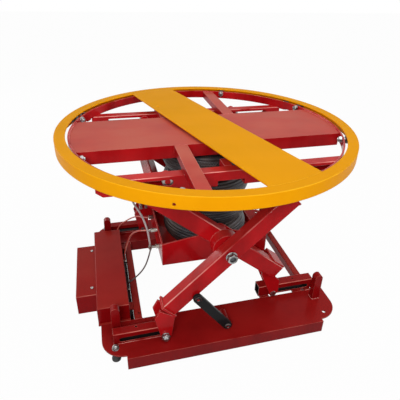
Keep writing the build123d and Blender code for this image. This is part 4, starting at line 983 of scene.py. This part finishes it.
@dataclass
class Welds:
    """Weld beads along the seams of the steelwork, laid by one node tree."""

    radius: float = 2.2
    ring_radius: float = 1.6
    pitch: float = 2.9
    seed: int = 7
    runs: dict[Body, list[list[Point]]] = field(default_factory=dict)

    def line(self, body: Body, *points: Point) -> None:
        """Add a run of bead through points in millimetres."""
        self.runs.setdefault(body, []).append(list(points))

    def rectangle(self, body: Body, low: Point, high: Point) -> None:
        """Add a run round a rectangle that is flat along one axis."""
        flat = [axis for axis in range(3) if low[axis] == high[axis]][0]
        first, second = [axis for axis in range(3) if axis != flat]
        loop = []
        for take_first, take_second in ((0, 0), (1, 0), (1, 1), (0, 1), (0, 0)):
            corner = list(low)
            corner[first] = (low, high)[take_first][first]
            corner[second] = (low, high)[take_second][second]
            loop.append(tuple(corner))
        self.line(body, *loop)

    def arc(self, body: Body, radius: float, height: float, start: float, end: float) -> None:
        """Add a run round the ring's axis, between two azimuths in degrees."""
        steps = max(4, int(abs(end - start) / 2))
        turns = [math.radians(start + (end - start) * step / steps) for step in range(steps + 1)]
        self.line(body, *[(radius * math.cos(turn), radius * math.sin(turn), height) for turn in turns])

    def plan(self) -> None:
        """List the seams of each body."""
        deck = 54.0
        for sign, back in ((-1, 0), (1, 15)):
            for x in (-410, 410):
                self.rectangle(Body.BASE, (x - 16.5, sign * 286 - 0.5, deck), (x + 16.5, sign * 314 + 0.5, deck))
            self.rectangle(Body.BASE, (-14.5, sign * 311 + back, deck), (14.5, sign * 371 + back, deck))
            self.rectangle(Body.BASE, (-424, sign * 326 + back, deck), (-214, sign * 362 + back, deck))
            for low, high, foot in ((-339, -309, 14), (393, 423, 10)):
                self.line(Body.BASE, (low, sign * 257, foot), (low, sign * 257, deck), (high, sign * 257, deck),
                          (high, sign * 257, foot))
            self.rectangle(Body.INNER_LEGS, (-248, sign * 232, 551), (-208, sign * 232, 591))
            y = sign * 147
            for x in (-132, 132):
                self.line(Body.TOP_FRAME, (x - 23, y, 700), (x - 23, y, 725), (x + 23, y, 725), (x + 23, y, 700))
                for rail in (281, 322):
                    self.line(Body.TOP_FRAME, (x - 23, sign * rail, 699), (x + 23, sign * rail, 699))
        for start in (-16.5, 163.5):
            self.arc(Body.TOP_FRAME, 504, 726, start, start + 33)
        for azimuth in (74.9, 105.1, 254.9, 285.1):
            self.arc(Body.TOP_FRAME, 504, 726, azimuth - 2.6, azimuth + 2.6)
        for middle in (106, 286):
            self.arc(Body.TURNTABLE, 517, 737.9, middle - 11.1, middle + 11.1)

    def build(self, tree: NodeTree, finishes: Finishes) -> None:
        """Lay the beads, one mesh for each body."""
        self.plan()
        for body, runs in self.runs.items():
            vertices: list[Vector] = []
            edges: list[tuple[int, int]] = []
            for run in runs:
                first = len(vertices)
                vertices.extend(mm(run))
                edges.extend((first + step, first + step + 1) for step in range(len(run) - 1))
            mesh = bpy.data.meshes.new(f"{body.value}_weld_beads")
            mesh.from_pydata(vertices, edges, [])
            worker = bpy.data.objects.new(mesh.name, mesh)
            bpy.context.scene.collection.objects.link(worker)
            yellow = body is Body.TURNTABLE
            radius = self.ring_radius if yellow else self.radius
            look = finishes.yellow if yellow else finishes.weld_red
            piece = tree.apply(worker, {"Bead Radius": radius * MM, "Pitch": self.pitch * MM,
                                        "Seed": self.seed, "Material": look})
            carry(piece, body)


@dataclass
class FastenerShapes:
    """Template meshes of the fasteners, each of unit radius with its seat at z = 0."""

    steps: int = 36
    made: dict[Head, bpy.types.Object] = field(default_factory=dict)

    def hex_radius(self, turn: float) -> float:
        """Radius of a hexagon of unit apothem at an angle."""
        sector = math.radians(60)
        return 1 / math.cos((turn + sector / 2) % sector - sector / 2)

    def nut(self, name: str, dome: bool) -> bpy.types.Object:
        """A chamfered nut on its flange, with a bore or under a dome."""
        rows: list[tuple[float, float, bool]] = [(1.12, 0.0, False), (1.12, 0.10, False), (1.02, 0.10, True),
                                                 (1.16, 0.17, True), (1.16, 0.86, True), (1.0, 0.98, False)]
        if dome:
            rows += [(0.82, 1.0, False), (0.80, 1.2, False), (0.66, 1.42, False), (0.4, 1.56, False)]
        else:
            rows += [(0.72, 1.0, False), (0.66, 0.96, False), (0.64, 0.30, False), (0.3, 0.30, False)]
        vertices: list[Vector] = []
        for radius, height, six in rows:
            for step in range(self.steps):
                turn = 2 * math.pi * step / self.steps
                reach = min(radius, self.hex_radius(turn)) if six else radius
                if not six and 0.9 < height < 1.0:
                    reach = min(radius, self.hex_radius(turn))
                vertices.append(Vector((reach * math.cos(turn), reach * math.sin(turn), height)))
        faces = [(row * self.steps + step, row * self.steps + (step + 1) % self.steps,
                  (row + 1) * self.steps + (step + 1) % self.steps, (row + 1) * self.steps + step)
                 for row in range(len(rows) - 1) for step in range(self.steps)]
        last = (len(rows) - 1) * self.steps
        faces.append(tuple(range(last, last + self.steps)))
        faces.append(tuple(reversed(range(self.steps))))
        piece = link_mesh(name, vertices, faces, bpy.data.materials[0])
        piece.data.shade_flat()
        return piece

    def turned(self, name: str, profile: Sequence[tuple[float, float]]) -> bpy.types.Object:
        """A head turned from a profile."""
        vertices, faces = lathe(profile, self.steps)
        return link_mesh(name, vertices, faces, bpy.data.materials[0])

    def shape(self, head: Head) -> bpy.types.Object:
        """The template of a kind of head, made once."""
        if head not in self.made:
            if head in (Head.HEX_NUT, Head.DOME_NUT):
                self.made[head] = self.nut(head.value, head is Head.DOME_NUT)
            elif head is Head.WASHER:
                self.made[head] = self.turned(head.value, [(0.5, 0.0), (0.97, 0.0), (1.0, 0.03), (1.0, 0.09),
                                                           (0.97, 0.12), (0.5, 0.12)])
            elif head is Head.SCREW:
                self.made[head] = self.turned(head.value, [(0, 0.0), (1.0, 0.0), (1.0, 0.12), (0.93, 0.32),
                                                           (0.72, 0.46), (0.42, 0.50), (0.36, 0.49), (0.30, 0.22),
                                                           (0, 0.2)])
            else:
                self.made[head] = self.turned(head.value, [(0, 0.0), (1.0, 0.0), (1.0, 0.10), (0.90, 0.30),
                                                           (0.62, 0.46), (0.46, 0.48), (0.42, 0.46), (0.38, 0.24),
                                                           (0, 0.22)])
        return self.made[head]

    def clear(self) -> None:
        """Remove the templates."""
        for template in self.made.values():
            bpy.data.objects.remove(template)


@dataclass(frozen=True)
class FastenerSet:
    """A set of equal fasteners: their seats and axes in millimetres."""

    name: str
    head: Head
    radius: float
    body: Body
    slot: str
    seats: tuple[tuple[Point, Point], ...]
    replaced: tuple[str, ...] = ()


@dataclass
class Fasteners:
    """Nuts, screws and bolt heads that show."""

    seed: int = 3
    ring_azimuths: tuple[float, ...] = tuple(45 * (index + 0.5) for index in range(8))

    def sets(self) -> list[FastenerSet]:
        """Every set of fasteners."""
        inward = []
        for azimuth in self.ring_azimuths:
            x, y = math.cos(math.radians(azimuth)), math.sin(math.radians(azimuth))
            inward.append(((503.6 * x, 503.6 * y, 720.7), (-x, -y, 0.0)))
        return [
            FastenerSet("pivot_washers", Head.WASHER, 20.5, Body.CRADLE, "zinc_steel",
                        (((0, -373.2, 392), (0, -1, 0)), ((0, 388.2, 392), (0, 1, 0)))),
            FastenerSet("pivot_lock_nuts", Head.HEX_NUT, 16.6, Body.CRADLE, "zinc_steel",
                        (((0, -375.6, 392), (0, -1, 0)), ((0, 390.6, 392), (0, 1, 0))), ("pivot_nuts",)),
            FastenerSet("ring_axle_nuts", Head.HEX_NUT, 10.4, Body.TOP_FRAME, "zinc_steel", tuple(inward)),
            FastenerSet("foot_cap_nuts", Head.DOME_NUT, 13.6, Body.OUTER_LEGS, "zinc_steel",
                        (((-237.5, -380, 72), (0, -1, 0)), ((-237.5, 395, 72), (0, 1, 0)))),
            FastenerSet("leveller_bolt_heads", Head.DOME_NUT, 10.6, Body.BASE, "zinc_steel",
                        (((-420, -380, 54.1), (0, 0, 1)), ((-420, 395, 54.1), (0, 0, 1)))),
            FastenerSet("box_lid_screws", Head.SCREW, 6.5, Body.BASE, "zinc_steel",
                        (((-489, 145, 110), (0, 0, 1)), ((-492, -104, 110), (0, 0, 1))), ("control_box_screws",)),
            FastenerSet("lower_link_caps", Head.BUTTON, 13.0, Body.BASE, "black_steel",
                        (((0, -386.4, 72), (0, -1, 0)), ((0, 401.4, 72), (0, 1, 0)))),
            FastenerSet("upper_pin_caps", Head.BUTTON, 13.0, Body.OUTER_LEGS, "black_steel",
                        (((-118.75, -386.4, 232), (0, -1, 0)), ((-118.75, 401.4, 232), (0, 1, 0)))),
        ]

    def build(self, tree: NodeTree, finishes: Finishes) -> None:
        """Place each set with the fastener tree."""
        shapes = FastenerShapes()
        looks = {"zinc_steel": finishes.zinc, "black_steel": finishes.black}
        for group in self.sets():
            mesh = bpy.data.meshes.new(group.name)
            mesh.from_pydata(mm([seat for seat, _ in group.seats]), [], [])
            axes = mesh.attributes.new("axis", "FLOAT_VECTOR", "POINT")
            for item, (_, axis) in zip(axes.data, group.seats):
                item.vector = axis
            worker = bpy.data.objects.new(group.name, mesh)
            bpy.context.scene.collection.objects.link(worker)
            piece = tree.apply(worker, {"Fastener": shapes.shape(group.head), "Size": group.radius * MM,
                                        "Seed": self.seed, "Material": looks[group.slot]})
            if group.head in (Head.HEX_NUT, Head.DOME_NUT):
                piece.data.shade_flat()
            carry(piece, group.body, group.replaced)
        shapes.clear()


@dataclass
class LevelFeet:
    """The tapered rubber feet under the levelling bolts."""

    places: tuple[tuple[float, float], ...] = ((-420, -380), (-420, 395))
    profile: tuple[tuple[float, float], ...] = (
        (0, 0), (15, 0), (16.5, 1.5), (16.5, 8), (15, 10), (13.5, 10.8), (13.5, 13.2), (12.5, 14), (11, 34),
        (12, 36), (12, 45), (10.5, 47.6), (0, 47.6))
    steps: int = 40

    def build(self, finishes: Finishes) -> None:
        """Turn both feet and join them in one mesh."""
        vertices: list[Vector] = []
        faces: list[tuple[int, ...]] = []
        for x, y in self.places:
            first = len(vertices)
            turned, rings = lathe([(radius * MM, height * MM) for radius, height in self.profile], self.steps)
            vertices += [spot + Vector((x, y, 0)) * MM for spot in turned]
            faces += [tuple(first + index for index in ring) for ring in rings]
        piece = link_mesh("levelling_feet", vertices, faces, finishes.foot_rubber)
        carry(piece, Body.BASE, ["rubber_feet"])


@dataclass
class HoseGutter:
    """The folded sheet between the valve cover and the left tie beam, which the hoses leave; it is painted
    near-black as the shade in that gap.
    """

    left: float = -355.4
    right: float = -339.4
    floor: float = 14.5
    rim: float = 47.6
    half_length: float = 256.0
    sheet: float = 1.6

    def build(self, finishes: Finishes) -> None:
        """Fold the sheet as one closed outline along Y."""
        low, high, thick = self.left, self.right, self.sheet
        outline = ((low, self.floor), (high, self.floor), (high, self.floor + thick),
                   (low + thick, self.floor + thick), (low + thick, self.rim), (low, self.rim))
        ends = (-self.half_length, self.half_length)
        vertices = mm([(x, y, z) for y in ends for x, z in outline])
        count = len(outline)
        faces = [(step, step + count, (step + 1) % count + count, (step + 1) % count) for step in range(count)]
        faces += [tuple(range(count)), tuple(reversed(range(count, 2 * count)))]
        piece = link_mesh("hose_gutter", vertices, faces, finishes.gap_shade)
        piece.data.shade_flat()
        carry(piece, Body.BASE)


def dress_frame(finishes: Finishes) -> None:
    """Give every CAD node its finish."""
    for name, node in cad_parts.items():
        node.data.materials.clear()
        node.data.materials.append(finishes.for_node(name))


def main() -> None:
    """Build the table's visible pieces in order."""
    logging.basicConfig(level=logging.INFO, format="%(name)s: %(message)s")
    bpy.context.scene.view_settings.view_transform = "Standard"
    studio = Studio()
    studio.add_camera()
    finishes = Finishes()
    AirLines().build(finishes)
    studio.add_light()
    studio.add_floor()
    dress_frame(finishes)
    LevelFeet().build(finishes)
    HoseGutter().build(finishes)
    AirBag().build(finishes)
    Welds().build(bead_tree(), finishes)
    Fasteners().build(fastener_tree(), finishes)


if __name__ == "__main__":
    main()
